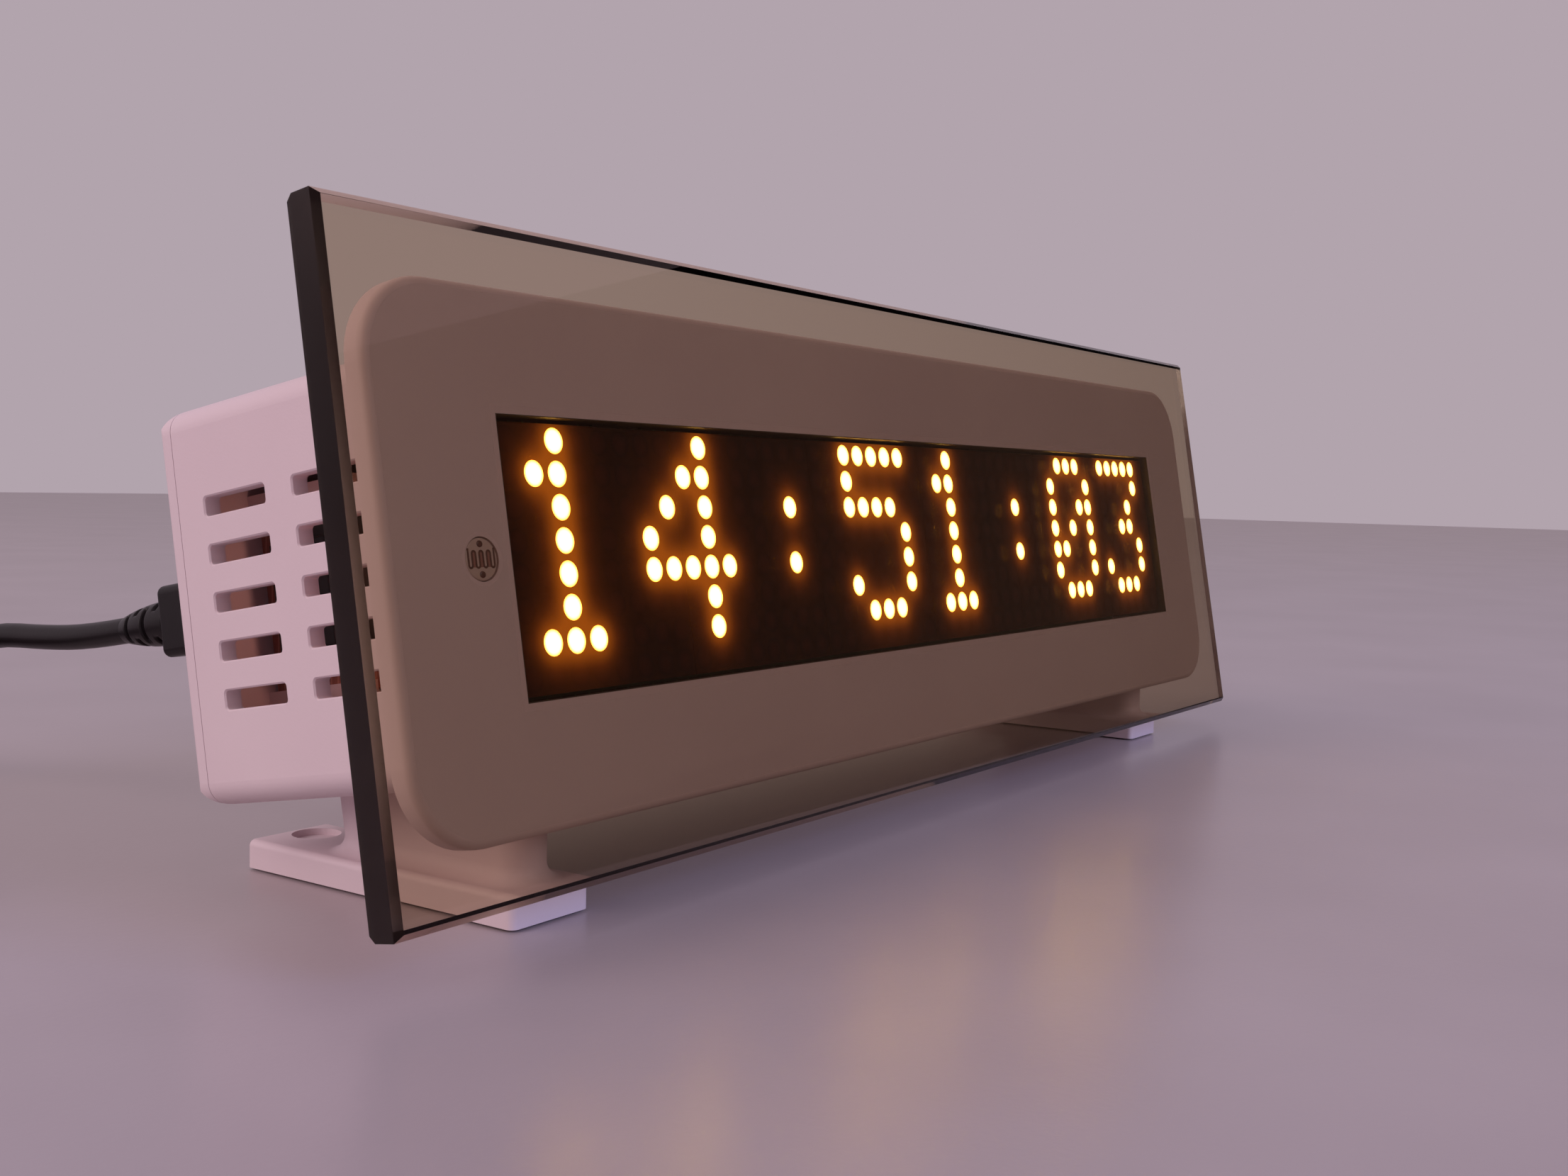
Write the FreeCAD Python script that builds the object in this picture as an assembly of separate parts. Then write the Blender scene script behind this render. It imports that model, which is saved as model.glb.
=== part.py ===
"""Desk clock: six dot-matrix modules behind a tinted plate, in a leaning housing on two feet.

Units are millimetres. The clock is built in two frames.
Case frame: origin at the centre of the display face, +X right, +Y back through the case, +Z up
along the display. Row frame: +Z up from the surface that the clock stands on, +Y back, origin
under the middle of the clock. lean() carries a shape from the first to the second.
"""
import FreeCAD, Part
import math
import os

V = FreeCAD.Vector
os.makedirs("parts", exist_ok=True)

# ---------------------------------------------------------------- driving dimensions
LEAN_DEG = 10.0             # how far the case leans back
PLATE_TO_FLOOR = 4.75       # rear lower edge of the plate above the surface

# display
DOT_PITCH = 4.0
DOT_DIA = 3.2
DOTS_PER_SIDE = 8
MODULE_COUNT = 6
MODULE_DEPTH = 6.7
MODULE_GAP = 0.1            # between neighbouring modules
DOT_DEPTH = 1.2             # how deep a dot's lens sits in the module
WINDOW_PLAY = 0.5           # between the modules and the window's edge

# tinted plate and the flange it is bonded to
PLATE_THICK = 4.3
PLATE_OVER_X = 6.0          # plate beyond the flange, each side
PLATE_OVER_Z = 6.7          # plate beyond the flange, above and below
PLATE_CHAMFER = 0.75        # all four front edges, and the rear ones above and below
BOND_THICK = 0.15
BOND_INSET = 1.0
FLANGE_THICK = 2.8
FLANGE_SIDE = 18.5          # flange beyond the window, each side
FLANGE_EDGE = 15.0          # flange beyond the window, above and below
FLANGE_CORNER_R = 10.0
FLANGE_ROUND = 1.0
LAP = 0.5                   # how far one form reaches into the next that it is one piece with
DISPLAY_RECESS = 1.35       # display face behind the flange's front

# case behind the flange
CASE_INSET_X = 9.0          # case inside the flange's edge, each side
CASE_INSET_Z = 6.5
CASE_REAR = 46.0            # rear face behind the display face
CASE_WALL = 2.3
CASE_EDGE_R = 3.0           # long edges that run back from the flange
CASE_REAR_R = 4.0           # rear upper and lower edges
CASE_REAR_SIDE_R = 1.0      # rear edges at the two sides
ROOM_CORNER_R = 1.5
COVER_THICK = 2.4
COVER_SEAM = 0.1
COVER_RIM = 1.4
COVER_RIM_DEPTH = 2.5
RIM_PLAY = 0.15

# vent slots in both sides
VENT_ROWS = 5
VENT_PITCH = 6.0
VENT_HEIGHT = 2.4
VENT_LENGTH = 11.7
VENT_CORNER_R = 0.5
VENT_FLARE = 0.2
VENT_FIRST_Y = 9.7          # front end of the front column
VENT_COLUMN_GAP = 5.2
VENT_COLUMNS = 2

# light sensor
SENSOR_DIA = 4.9
SENSOR_THICK = 2.1
SENSOR_HOLE_PLAY = 0.1
SENSOR_FROM_WINDOW = 4.7    # sensor's axis beyond the window's left edge
SENSOR_RECESS = 0.1
SENSOR_EDGE_R = 0.2
SENSOR_LEAD_DIA = 0.5
SENSOR_LEAD_PITCH = 3.0
SENSOR_LEAD_BEHIND = 3.0    # how far the leads pass behind the display board
SENSOR_LEAD_LANDING = 2.2   # where they meet the board, inside its left edge

# feet
FOOT_INSET = 14.8           # foot's centre line inside the case's side
FOOT_WIDTH = 13.1
FOOT_FRONT = -5.2           # front end of the base, behind the display centre along the floor
FOOT_LENGTH = 47.8
FOOT_BASE = 3.7
FOOT_CORNER_R = 1.0
FOOT_TOP_R = 0.9
WEB_WIDTH = 7.0
WEB_SETBACK = 4.2           # web's front end behind the base's front end
WEB_LENGTH = 29.7
WEB_FLARE = 2.6             # how much longer the web's rear is at the top
WEB_FILLET = 2.0
DIMPLE_DIA = 6.4
DIMPLE_DEPTH = 0.9
DIMPLE_FROM_REAR = 4.4
DIMPLE_INWARD = 1.2         # dimple's axis inside the foot's centre line
PAD_DIA = 8.0
PAD_THICK = 1.1
PAD_PROUD = 0.3
PAD_FROM_END = 8.5

# electronics
BOARD_THICK = 1.6
BOARD_TO_BOSS = 0.6
BOARD_TO_WALL = 0.7
BOARD_POST_DIA = 4.6
SOCKET_HEIGHT = 4.2
SOCKET_WIDTH = 2.5
PIN_PITCH = 2.54
PINS_PER_ROW = 8
PIN_ROW_SPACING = 24.0
PIN_DIA = 0.5
PIN_PLAY = 0.15
PIN_LENGTH = 3.2            # pin beyond the module's back
PIN_END_PLAY = 0.4
CHIP_LENGTH = 15.4
CHIP_WIDTH = 7.5
CHIP_HEIGHT = 2.3
CHIP_LEGS = 12
CHIP_LEG_PITCH = 1.27
CHIP_LEG_WIDTH = 0.4
CHIP_LEG_THICK = 0.25
CHIP_STAND = 0.2            # body above the board
CHIP_SPAN = 10.3
CAP_DIA = 5.0
CAP_HEIGHT = 5.4
CAP_BASE = 0.8
CTRL_LENGTH = 27.5
CTRL_WIDTH = 25.6
CTRL_THICK = 1.0
CTRL_TO_COVER = 0.4
RAIL_LENGTH = 18.0
RAIL_WIDTH = 3.4
RAIL_LIP = 1.2
RAIL_PLAY = 0.15
PORT_FROM_SIDE = 14.0       # power socket's axis inside the case's left side
PORT_WIDTH = 7.5
PORT_HEIGHT = 2.7
PORT_DEPTH = 6.0
PORT_WALL = 0.3
PORT_RECESS = 1.0           # socket's mouth behind the rear face
PORT_PLAY = 0.35
PROC_LENGTH = 16.0
PROC_WIDTH = 18.0
PROC_THICK = 0.8
PROC_FROM_END = 4.0         # processor ahead of the controller's rear edge
SHIELD_LENGTH = 11.0
SHIELD_WIDTH = 14.0
SHIELD_HEIGHT = 2.2
SHIELD_INSET = 1.0
SHIELD_EDGE_R = 0.4
HEADER_WIDTH = 12.7
HEADER_THICK = 2.6
HEADER_HEIGHT = 6.0
HEADER_FROM_SIDE = 4.0      # connector inside the display board's left edge
HEADER_FROM_EDGE = 2.0      # and above its lower edge
CABLE_WIRES = 5
WIRE_DIA = 1.1
CLOCK_BOARD_W = 38.0
CLOCK_BOARD_H = 24.0
CLOCK_BOARD_X = -36.0
CLOCK_CHIP_LENGTH = 10.2
CLOCK_CHIP_WIDTH = 7.4
CELL_DIA = 20.0
CELL_THICK = 3.2
CELL_CAN_THICK = 2.4        # wide part of the cell
CELL_CAP_INSET = 1.2        # narrow part inside the wide part's edge
CELL_FROM_MIDDLE = 1.0      # cell's axis right of the board's middle
CELL_PLAY = 0.2
HOLDER_WALL = 1.0
HOLDER_FLOOR = 0.8
HOLDER_NOTCH = 8.0
HOLDER_NOTCH_REACH = 3.0    # how far the finger notch reaches in over the cell
STANDOFF_DIA = 5.5
STANDOFF_HEIGHT = 5.0
STANDOFF_INSET = 0.4

# setting buttons
BUTTON_COUNT = 3
BUTTON_PITCH = 14.0
BUTTON_X = 62.0             # middle button
BUTTON_Z = 0.0
BUTTON_DIA = 6.0
BUTTON_PLAY = 0.25
BUTTON_PROUD = 1.2
BUTTON_FLANGE_DIA = 8.6
BUTTON_FLANGE = 1.0
BUTTON_TRAVEL = 0.5
BUTTON_EDGE_R = 0.6
BUTTON_REST_GAP = 0.1
SWITCH_SIDE = 6.0
SWITCH_HEIGHT = 3.5
SWITCH_TO_STANDOFF = 2.5
WELL_END_PLAY = 0.3         # under the plunger when it is pressed
PLUNGER_DIA = 3.4
PLUNGER_SHOWN = 1.5
PLUNGER_HIDDEN = 0.8
PLUNGER_PLAY = 0.2

# screws
SCREW_DIA = 2.9
SCREW_HEAD_DIA = 5.6
SCREW_HEAD = 1.65
SCREW_SUNK = 0.3            # cover screws' heads below the rear face
COVER_SCREW_LENGTH = 10.0
FOOT_SCREW_LENGTH = 8.0
SMALL_SCREW_DIA = 2.0
SMALL_HEAD_DIA = 3.8
SMALL_HEAD = 1.4
SMALL_SCREW_LENGTH = 6.0
SCREW_PLAY = 0.05
SCREW_END_PLAY = 0.4        # drilled beyond a screw's end
SCREW_POINT = 0.2           # chamfer at the end, as a share of the diameter
RECESS_ARM = 0.28           # half length of the cross recess, as a share of the head
RECESS_BLADE = 0.10         # half width of its blades
RECESS_DEPTH = 0.55         # depth, as a share of the head's height
SCREW_TO_BOARD = 1.5        # front foot screw's head behind the display board
SCREW_TO_WEB_END = 5.0      # rear foot screw ahead of the web's rear end
BOSS_DIA = 6.5
BOSS_INTO_WALL = 0.2
BOSS_NOTCH = 9.75           # square left free in the cover's rim for a boss

# power lead
HEAD_LENGTH = 19.7
HEAD_WIDTH = 7.0
HEAD_HEIGHT = 10.0
HEAD_ROUND = 1.2
HEAD_END_ROUND = 0.8
HEAD_GAP = 0.3
PLUG_SHELL_PLAY = 0.08
PLUG_SHELL_END_PLAY = 0.3
RELIEF_LENGTH = 12.0
RELIEF_DIA = 6.4
RELIEF_MIDDLE_DIA = 5.9
RELIEF_END_DIA = 4.0
RELIEF_RIBS = 5
RELIEF_GROOVE = 0.45
RELIEF_GROOVE_SHARE = 0.4   # groove's width as a share of the ribs' pitch
CORD_DIA = 3.8
COIL_MIDDLE_DIA = 42.0      # coil across at the middle of its turns
COIL_SIDE_TURNS = 3
COIL_LAYERS = 2
COIL_X = -121.5
COIL_Y = 141.0
TIE_THICK = 0.6
TIE_WIDTH = 9.0
TIE_REACH = 0.6             # ring's inner wall cleared under the tie
USB_LENGTH = 32.0
USB_WIDTH = 15.5
USB_HEIGHT = 7.8
USB_ROUND = 1.5
USB_END_ROUND = 0.8
USB_RELIEF = 8.0
USB_FROM_TURN = 4.0         # far plug's axis beyond the coil's outer turn
USB_TAIL = 38.0             # tail's end ahead of the coil's centre
USB_SHELL_LENGTH = 12.0
USB_SHELL_WIDTH = 12.0
USB_SHELL_HEIGHT = 4.5
USB_SHELL_WALL = 0.3
USB_TONGUE_THICK = 1.9
USB_TONGUE_RECESS = 0.5

# what the display shows: a plain time, one glyph per entry with the column it starts in
FONT = {
    "0": (".###.", "#...#", "#..##", "#.#.#", "##..#", "#...#", ".###."),
    "1": (".#.", "##.", ".#.", ".#.", ".#.", ".#.", "###"),
    "3": ("#####", "....#", "...#.", "..##.", "....#", "#...#", ".###."),
    "4": ("...#.", "..##.", ".#.#.", "#..#.", "#####", "...#.", "...#."),
    "5": ("#####", "#....", "####.", "....#", "....#", "#...#", ".###."),
    ":": (".", ".", "#", ".", "#", ".", "."),
}
SHOWN = (("1", 1), ("4", 6), (":", 14), ("5", 18), ("1", 25), (":", 32), ("0", 36), ("3", 42))

# ---------------------------------------------------------------- worked-out sizes
MODULE_SIDE = DOT_PITCH * DOTS_PER_SIDE
DISPLAY_W = MODULE_SIDE * MODULE_COUNT
WINDOW_W = DISPLAY_W + 2 * WINDOW_PLAY
WINDOW_H = MODULE_SIDE + 2 * WINDOW_PLAY
FLANGE_W = WINDOW_W + 2 * FLANGE_SIDE
FLANGE_H = WINDOW_H + 2 * FLANGE_EDGE
FLANGE_Y0 = -DISPLAY_RECESS
FLANGE_Y1 = FLANGE_Y0 + FLANGE_THICK
PLATE_W = FLANGE_W + 2 * PLATE_OVER_X
PLATE_H = FLANGE_H + 2 * PLATE_OVER_Z
PLATE_Y1 = FLANGE_Y0 - BOND_THICK
PLATE_Y0 = PLATE_Y1 - PLATE_THICK
CASE_W = FLANGE_W - 2 * CASE_INSET_X
CASE_H = FLANGE_H - 2 * CASE_INSET_Z
ROOM_W = CASE_W - 2 * CASE_WALL
ROOM_H = CASE_H - 2 * CASE_WALL
COVER_Y0 = CASE_REAR - COVER_THICK
SHELL_Y1 = COVER_Y0 - COVER_SEAM
BOSS_X = ROOM_W / 2 - BOSS_DIA / 2 + BOSS_INTO_WALL
BOSS_Z = ROOM_H / 2 - BOSS_DIA / 2 + BOSS_INTO_WALL
SENSOR_X = -(WINDOW_W / 2 + SENSOR_FROM_WINDOW)
BOARD_Y0 = MODULE_DEPTH + SOCKET_HEIGHT
BOARD_Y1 = BOARD_Y0 + BOARD_THICK
BOARD_W = 2 * (BOSS_X - BOSS_DIA / 2 - BOARD_TO_BOSS)
BOARD_H = ROOM_H - 2 * BOARD_TO_WALL
BOARD_POST_Z = (WINDOW_H / 2 + ROOM_H / 2) / 2
BOARD_POSTS_X = (-MODULE_SIDE * 2, 0.0, MODULE_SIDE * 2)
PORT_X = -(CASE_W / 2 - PORT_FROM_SIDE)
PORT_Y1 = CASE_REAR - PORT_RECESS
CTRL_X1 = PORT_X - PORT_HEIGHT / 2
CTRL_X0 = CTRL_X1 - CTRL_THICK
CTRL_Y1 = COVER_Y0 - CTRL_TO_COVER
CTRL_Y0 = CTRL_Y1 - CTRL_LENGTH
PROC_Y1 = CTRL_Y1 - PROC_FROM_END
HEADER_X = -BOARD_W / 2 + HEADER_WIDTH / 2 + HEADER_FROM_SIDE
HEADER_Z = -BOARD_H / 2 + HEADER_FROM_EDGE
SENSOR_Y0 = FLANGE_Y0 + SENSOR_RECESS
BUTTON_BOARD_Y1 = (
    COVER_Y0 - BUTTON_REST_GAP - BUTTON_FLANGE - PLUNGER_SHOWN - SWITCH_HEIGHT)
CLOCK_BOARD_Y1 = COVER_Y0 - STANDOFF_HEIGHT
CELL_X = CLOCK_BOARD_X + CELL_FROM_MIDDLE
FOOT_X = CASE_W / 2 - FOOT_INSET

LEAN = math.radians(LEAN_DEG)
# height of the display centre above the surface
CENTRE_Z = PLATE_TO_FLOOR - (-PLATE_Y1 * math.sin(LEAN) - PLATE_H / 2 * math.cos(LEAN))
# front and rear of the clock behind the display centre, measured along the floor
LOW_FRONT = PLATE_Y0 * math.cos(LEAN) - (PLATE_H / 2 - PLATE_CHAMFER) * math.sin(LEAN)
HIGH_REAR = (
    (CASE_REAR - CASE_REAR_R) * math.cos(LEAN)
    + (CASE_H / 2 - CASE_REAR_R) * math.sin(LEAN)
    + CASE_REAR_R
)
CENTRE_Y = -(LOW_FRONT + HIGH_REAR) / 2
FOOT_Y0 = FOOT_FRONT + CENTRE_Y
FOOT_Y1 = FOOT_Y0 + FOOT_LENGTH
FOOT_TOP = PAD_PROUD + FOOT_BASE

HEAD_Y0 = CASE_REAR + HEAD_GAP
HEAD_Y1 = HEAD_Y0 + HEAD_LENGTH
RELIEF_Y1 = HEAD_Y1 + RELIEF_LENGTH
COIL_MID_R = COIL_MIDDLE_DIA / 2
COIL_OUT_R = COIL_MID_R + COIL_SIDE_TURNS * CORD_DIA / 2
COIL_IN_R = COIL_MID_R - COIL_SIDE_TURNS * CORD_DIA / 2
COIL_HEIGHT = COIL_LAYERS * CORD_DIA
OUTER_TURN_R = COIL_OUT_R - CORD_DIA / 2
LOW_TURN_Z = TIE_THICK + CORD_DIA / 2
HIGH_TURN_Z = LOW_TURN_Z + (COIL_LAYERS - 1) * CORD_DIA
USB_X = COIL_X - OUTER_TURN_R - USB_FROM_TURN
USB_TAIL_Y = COIL_Y - USB_TAIL
USB_BACK_Y = USB_TAIL_Y - USB_RELIEF
USB_FRONT_Y = USB_BACK_Y - USB_LENGTH


# ---------------------------------------------------------------- helpers
def lean(shape):
    """Carries a shape from the case frame to the row frame."""
    placed = shape.copy()
    placed.rotate(V(0, 0, 0), V(1, 0, 0), -LEAN_DEG)
    placed.translate(V(0, CENTRE_Y, CENTRE_Z))
    return placed


def lean_point(x, y, z):
    """Carries a point from the case frame to the row frame."""
    return V(
        x,
        y * math.cos(LEAN) + z * math.sin(LEAN) + CENTRE_Y,
        -y * math.sin(LEAN) + z * math.cos(LEAN) + CENTRE_Z,
    )


def box(x0, x1, y0, y1, z0, z1):
    """Box between two corners."""
    return Part.makeBox(x1 - x0, y1 - y0, z1 - z0, V(x0, y0, z0))


def rod(x, y, z, dia, length, axis=V(0, 1, 0)):
    """Cylinder from a point along an axis."""
    return Part.makeCylinder(dia / 2, length, V(x, y, z), axis)


def join(shapes):
    """One solid from several that overlap or touch."""
    shapes = list(shapes)
    if len(shapes) == 1:
        return shapes[0]
    return shapes[0].multiFuse(shapes[1:]).removeSplitter()


def rounded_slab(width, height, radius, y0, y1, x=0.0, z=0.0):
    """Slab of rounded-rectangle outline in XZ, from y0 to y1."""
    block = box(x - width / 2, x + width / 2, y0, y1, z - height / 2, z + height / 2)
    edges = [e for e in block.Edges if abs(e.tangentAt(e.FirstParameter).y) > 0.9]
    return block.makeFillet(radius, edges)


def edges_at(shape, axis, value, tolerance=1e-4):
    """Edges that lie wholly in the plane where one coordinate has a value."""
    return [
        e for e in shape.Edges
        if all(abs(getattr(v.Point, axis) - value) < tolerance for v in e.Vertexes)
        and abs(getattr(e.CenterOfMass, axis) - value) < tolerance
    ]


def place(shape, at, direction):
    """Turns a shape built along +Z to a direction and moves it to a point."""
    placed = shape.copy()
    turn = FreeCAD.Rotation(V(0, 0, 1), direction)
    placed.Placement = FreeCAD.Placement(at, turn)
    return placed


def cross_recess(head_dia, top, depth):
    """Cross-shaped driver recess, cut down from the top of a screw's head."""
    arm = head_dia * RECESS_ARM
    blade = head_dia * RECESS_BLADE
    a = box(-arm, arm, -blade, blade, top - depth, top + 1)
    b = box(-blade, blade, -arm, arm, top - depth, top + 1)
    return a.fuse(b)


def pan_screw(dia, length, head_dia, head):
    """Pan-head screw along -Z, its head's underside at z = 0."""
    cap = Part.makeCylinder(head_dia / 2, head)
    cap = cap.makeFillet(head / 2, edges_at(cap, "z", head))
    shank = Part.makeCylinder(dia / 2, length, V(0, 0, -length))
    shank = shank.makeChamfer(dia * SCREW_POINT, edges_at(shank, "z", -length))
    recess = cross_recess(head_dia, head, head * RECESS_DEPTH)
    return cap.fuse(shank).removeSplitter().cut(recess)


def countersunk_screw(dia, length, head_dia, head):
    """Countersunk screw along -Z, its head's face at z = 0."""
    cone = Part.makeCone(dia / 2, head_dia / 2, head, V(0, 0, -head))
    shank = Part.makeCylinder(dia / 2, length, V(0, 0, -length))
    shank = shank.makeChamfer(dia * SCREW_POINT, edges_at(shank, "z", -length))
    recess = cross_recess(head_dia, 0, head * RECESS_DEPTH)
    return cone.fuse(shank).removeSplitter().cut(recess)


def smooth_tube(points, dia):
    """Tube along straight runs joined by tangent arcs. Prints its length and radii.

    The radius at a point is 0.45 of the shorter run there over the tangent of half the turn.
    """
    edges = []
    radii = []
    start = points[0]
    for before, here, after in zip(points, points[1:], points[2:]):
        run_in = here - before
        run_out = after - here
        turn = run_in.getAngle(run_out)
        reach = 0.45 * min(run_in.Length, run_out.Length)
        radii.append(reach / math.tan(turn / 2))
        way_in = V(run_in).normalize()
        way_out = V(run_out).normalize()
        first = here - way_in * reach
        last = here + way_out * reach
        inward = (way_out - way_in).normalize()
        middle = here + inward * (radii[-1] / math.cos(turn / 2) - radii[-1])
        edges.append(Part.LineSegment(start, first).toShape())
        edges.append(Part.Arc(first, middle, last).toShape())
        start = last
    edges.append(Part.LineSegment(start, points[-1]).toShape())
    path = Part.Wire(edges)
    way = (points[1] - points[0]).normalize()
    ring = Part.Wire(Part.makeCircle(dia / 2, points[0], way))
    tube = path.makePipeShell([ring], True, True)
    length = sum(e.Length for e in edges)
    print("  tube of %.1f: length %.1f, radii %s, volume / (section x length) %.4f" % (
        dia, length, ["%.0f" % r for r in radii], tube.Volume / (math.pi * dia ** 2 / 4 * length)))
    return tube


def save(name, shape):
    """Writes one sub-part and says what it holds."""
    if isinstance(shape, (list, tuple)):
        shape = Part.makeCompound(list(shape))
    ok = shape.isValid() and len(shape.Solids) > 0
    shape.exportStep("parts/%s.step" % name)
    print("%-20s %3d solid(s) %9.1f mm3 %s" % (
        name, len(shape.Solids), shape.Volume, "" if ok else "NOT VALID"))


# ---------------------------------------------------------------- tinted plate and bond
def front_plate():
    plate = box(-PLATE_W / 2, PLATE_W / 2, PLATE_Y0, PLATE_Y1, -PLATE_H / 2, PLATE_H / 2)
    rear = [e for e in edges_at(plate, "y", PLATE_Y1)
            if abs(e.tangentAt(e.FirstParameter).x) > 0.9]
    return plate.makeChamfer(PLATE_CHAMFER, edges_at(plate, "y", PLATE_Y0) + rear)


def plate_bond():
    """Clear adhesive sheet on the flange, open at the window and at the light sensor."""
    sheet = rounded_slab(
        FLANGE_W - 2 * BOND_INSET, FLANGE_H - 2 * BOND_INSET, FLANGE_CORNER_R - BOND_INSET,
        PLATE_Y1, FLANGE_Y0)
    window = box(
        -WINDOW_W / 2 - BOND_INSET, WINDOW_W / 2 + BOND_INSET, PLATE_Y1 - 1, FLANGE_Y0 + 1,
        -WINDOW_H / 2 - BOND_INSET, WINDOW_H / 2 + BOND_INSET)
    hole = rod(SENSOR_X, PLATE_Y1 - 1, 0, SENSOR_DIA + 2 * SENSOR_HOLE_PLAY + BOND_INSET, 3)
    return sheet.cut(window).cut(hole)


# ---------------------------------------------------------------- housing and rear cover
def case_block(y0, y1):
    """Outer form of the case: one profile per view, and what the three have in common."""
    side = box(-CASE_W / 2, CASE_W / 2, y0, CASE_REAR, -CASE_H / 2, CASE_H / 2)
    side = side.makeFillet(CASE_REAR_R, [
        e for e in edges_at(side, "y", CASE_REAR)
        if abs(e.tangentAt(e.FirstParameter).x) > 0.9])
    front = rounded_slab(CASE_W, CASE_H, CASE_EDGE_R, y0, CASE_REAR)
    top = box(-CASE_W / 2, CASE_W / 2, y0, CASE_REAR, -CASE_H / 2, CASE_H / 2)
    top = top.makeFillet(CASE_REAR_SIDE_R, [
        e for e in edges_at(top, "y", CASE_REAR)
        if abs(e.tangentAt(e.FirstParameter).z) > 0.9])
    block = side.common(front).common(top)
    return block.common(box(-CASE_W, CASE_W, y0, y1, -CASE_H, CASE_H)).removeSplitter()


def vent_cutter(side, y, z):
    """One slot through a side wall, with a flared outer mouth."""
    wall = CASE_W / 2

    def outline(x, grow):
        slot = rounded_slab(
            VENT_LENGTH + 2 * grow, VENT_HEIGHT + 2 * grow, VENT_CORNER_R + grow, 0, 1)
        face = [f for f in slot.Faces if abs(f.CenterOfMass.y) < 1e-6][0]
        wire = face.OuterWire.copy()
        wire.rotate(V(0, 0, 0), V(0, 0, 1), 90)
        wire.translate(V(x, y, z))
        return wire

    slot = Part.Face(outline(side * (wall + 1), 0)).extrude(V(-side * (CASE_WALL + 2), 0, 0))
    mouth = Part.makeLoft(
        [outline(side * (wall - VENT_FLARE), 0), outline(side * (wall + 0.01), VENT_FLARE)],
        True, True)
    return slot.fuse(mouth)


def vents():
    """All slots of both sides."""
    cutters = []
    for side in (-1, 1):
        for column in range(VENT_COLUMNS):
            y = VENT_FIRST_Y + VENT_LENGTH / 2 + column * (VENT_LENGTH + VENT_COLUMN_GAP)
            for row in range(VENT_ROWS):
                z = (row - (VENT_ROWS - 1) / 2) * VENT_PITCH
                cutters.append(vent_cutter(side, y, z))
    return Part.makeCompound(cutters)


def boss_places():
    """Axes of the four cover screws in the case's corners."""
    return [(sx * BOSS_X, sz * BOSS_Z) for sx in (-1, 1) for sz in (-1, 1)]


def post_places():
    """Axes of the display board's screws above and below the window."""
    return [(x, sz * BOARD_POST_Z) for x in BOARD_POSTS_X for sz in (-1, 1)]


def foot_screw_places():
    """Case-frame places of the foot screws, two per foot, on the case's floor."""
    web_rear = FOOT_FRONT + WEB_SETBACK + WEB_LENGTH
    under = CASE_H / 2 * math.sin(LEAN)
    first = BOARD_Y1 + SCREW_HEAD_DIA / 2 + SCREW_TO_BOARD
    second = (web_rear - SCREW_TO_WEB_END + under) / math.cos(LEAN)
    return [(side * FOOT_X, y) for side in (-1, 1) for y in (first, second)]


def front_housing():
    flange = rounded_slab(FLANGE_W, FLANGE_H, FLANGE_CORNER_R, FLANGE_Y0, FLANGE_Y1)
    flange = flange.makeFillet(FLANGE_ROUND, edges_at(flange, "y", FLANGE_Y0))
    room = rounded_slab(ROOM_W, ROOM_H, ROOM_CORNER_R, FLANGE_Y1, CASE_REAR)
    shell = case_block(FLANGE_Y1, SHELL_Y1).cut(room)
    bosses = [
        rod(x, FLANGE_Y1, z, BOSS_DIA, SHELL_Y1 - FLANGE_Y1).common(
            box(-ROOM_W / 2 - 1, ROOM_W / 2 + 1, 0, CASE_REAR, -ROOM_H / 2 - 1, ROOM_H / 2 + 1))
        for x, z in boss_places()]
    posts = [
        rod(x, FLANGE_Y1, z, BOARD_POST_DIA, BOARD_Y0 - FLANGE_Y1) for x, z in post_places()]
    housing = join([flange, shell] + bosses + posts)
    window = box(
        -WINDOW_W / 2, WINDOW_W / 2, FLANGE_Y0 - 1, FLANGE_Y1 + 1, -WINDOW_H / 2, WINDOW_H / 2)
    housing = housing.cut(window)
    housing = housing.cut(
        rod(SENSOR_X, FLANGE_Y0 - 1, 0, SENSOR_DIA + 2 * SENSOR_HOLE_PLAY, FLANGE_THICK + 2))
    drills = [
        rod(x, CASE_REAR - SCREW_SUNK - COVER_SCREW_LENGTH - SCREW_END_PLAY, z,
            SCREW_DIA + 2 * SCREW_PLAY, CASE_REAR)
        for x, z in boss_places()]
    drills += [
        rod(x, BOARD_Y1 - SMALL_SCREW_LENGTH - SCREW_END_PLAY, z,
            SMALL_SCREW_DIA + 2 * SCREW_PLAY, SMALL_SCREW_LENGTH + 1)
        for x, z in post_places()]
    drills += [
        rod(x, y, -CASE_H / 2 - 1, SCREW_DIA + 4 * SCREW_PLAY, CASE_WALL + 2, V(0, 0, 1))
        for x, y in foot_screw_places()]
    housing = housing.cut(Part.makeCompound(drills))
    return housing.cut(vents())


def button_places():
    """Axes of the setting buttons."""
    half = (BUTTON_COUNT - 1) / 2
    return [(BUTTON_X + (i - half) * BUTTON_PITCH, BUTTON_Z) for i in range(BUTTON_COUNT)]


def clock_standoffs():
    """Axes of the two standoffs under the timekeeper board."""
    reach = CLOCK_BOARD_W / 2 - STANDOFF_DIA / 2 - STANDOFF_INSET
    high = CLOCK_BOARD_H / 2 - STANDOFF_DIA / 2
    return [(CLOCK_BOARD_X - reach, high), (CLOCK_BOARD_X + reach, -high)]


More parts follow.
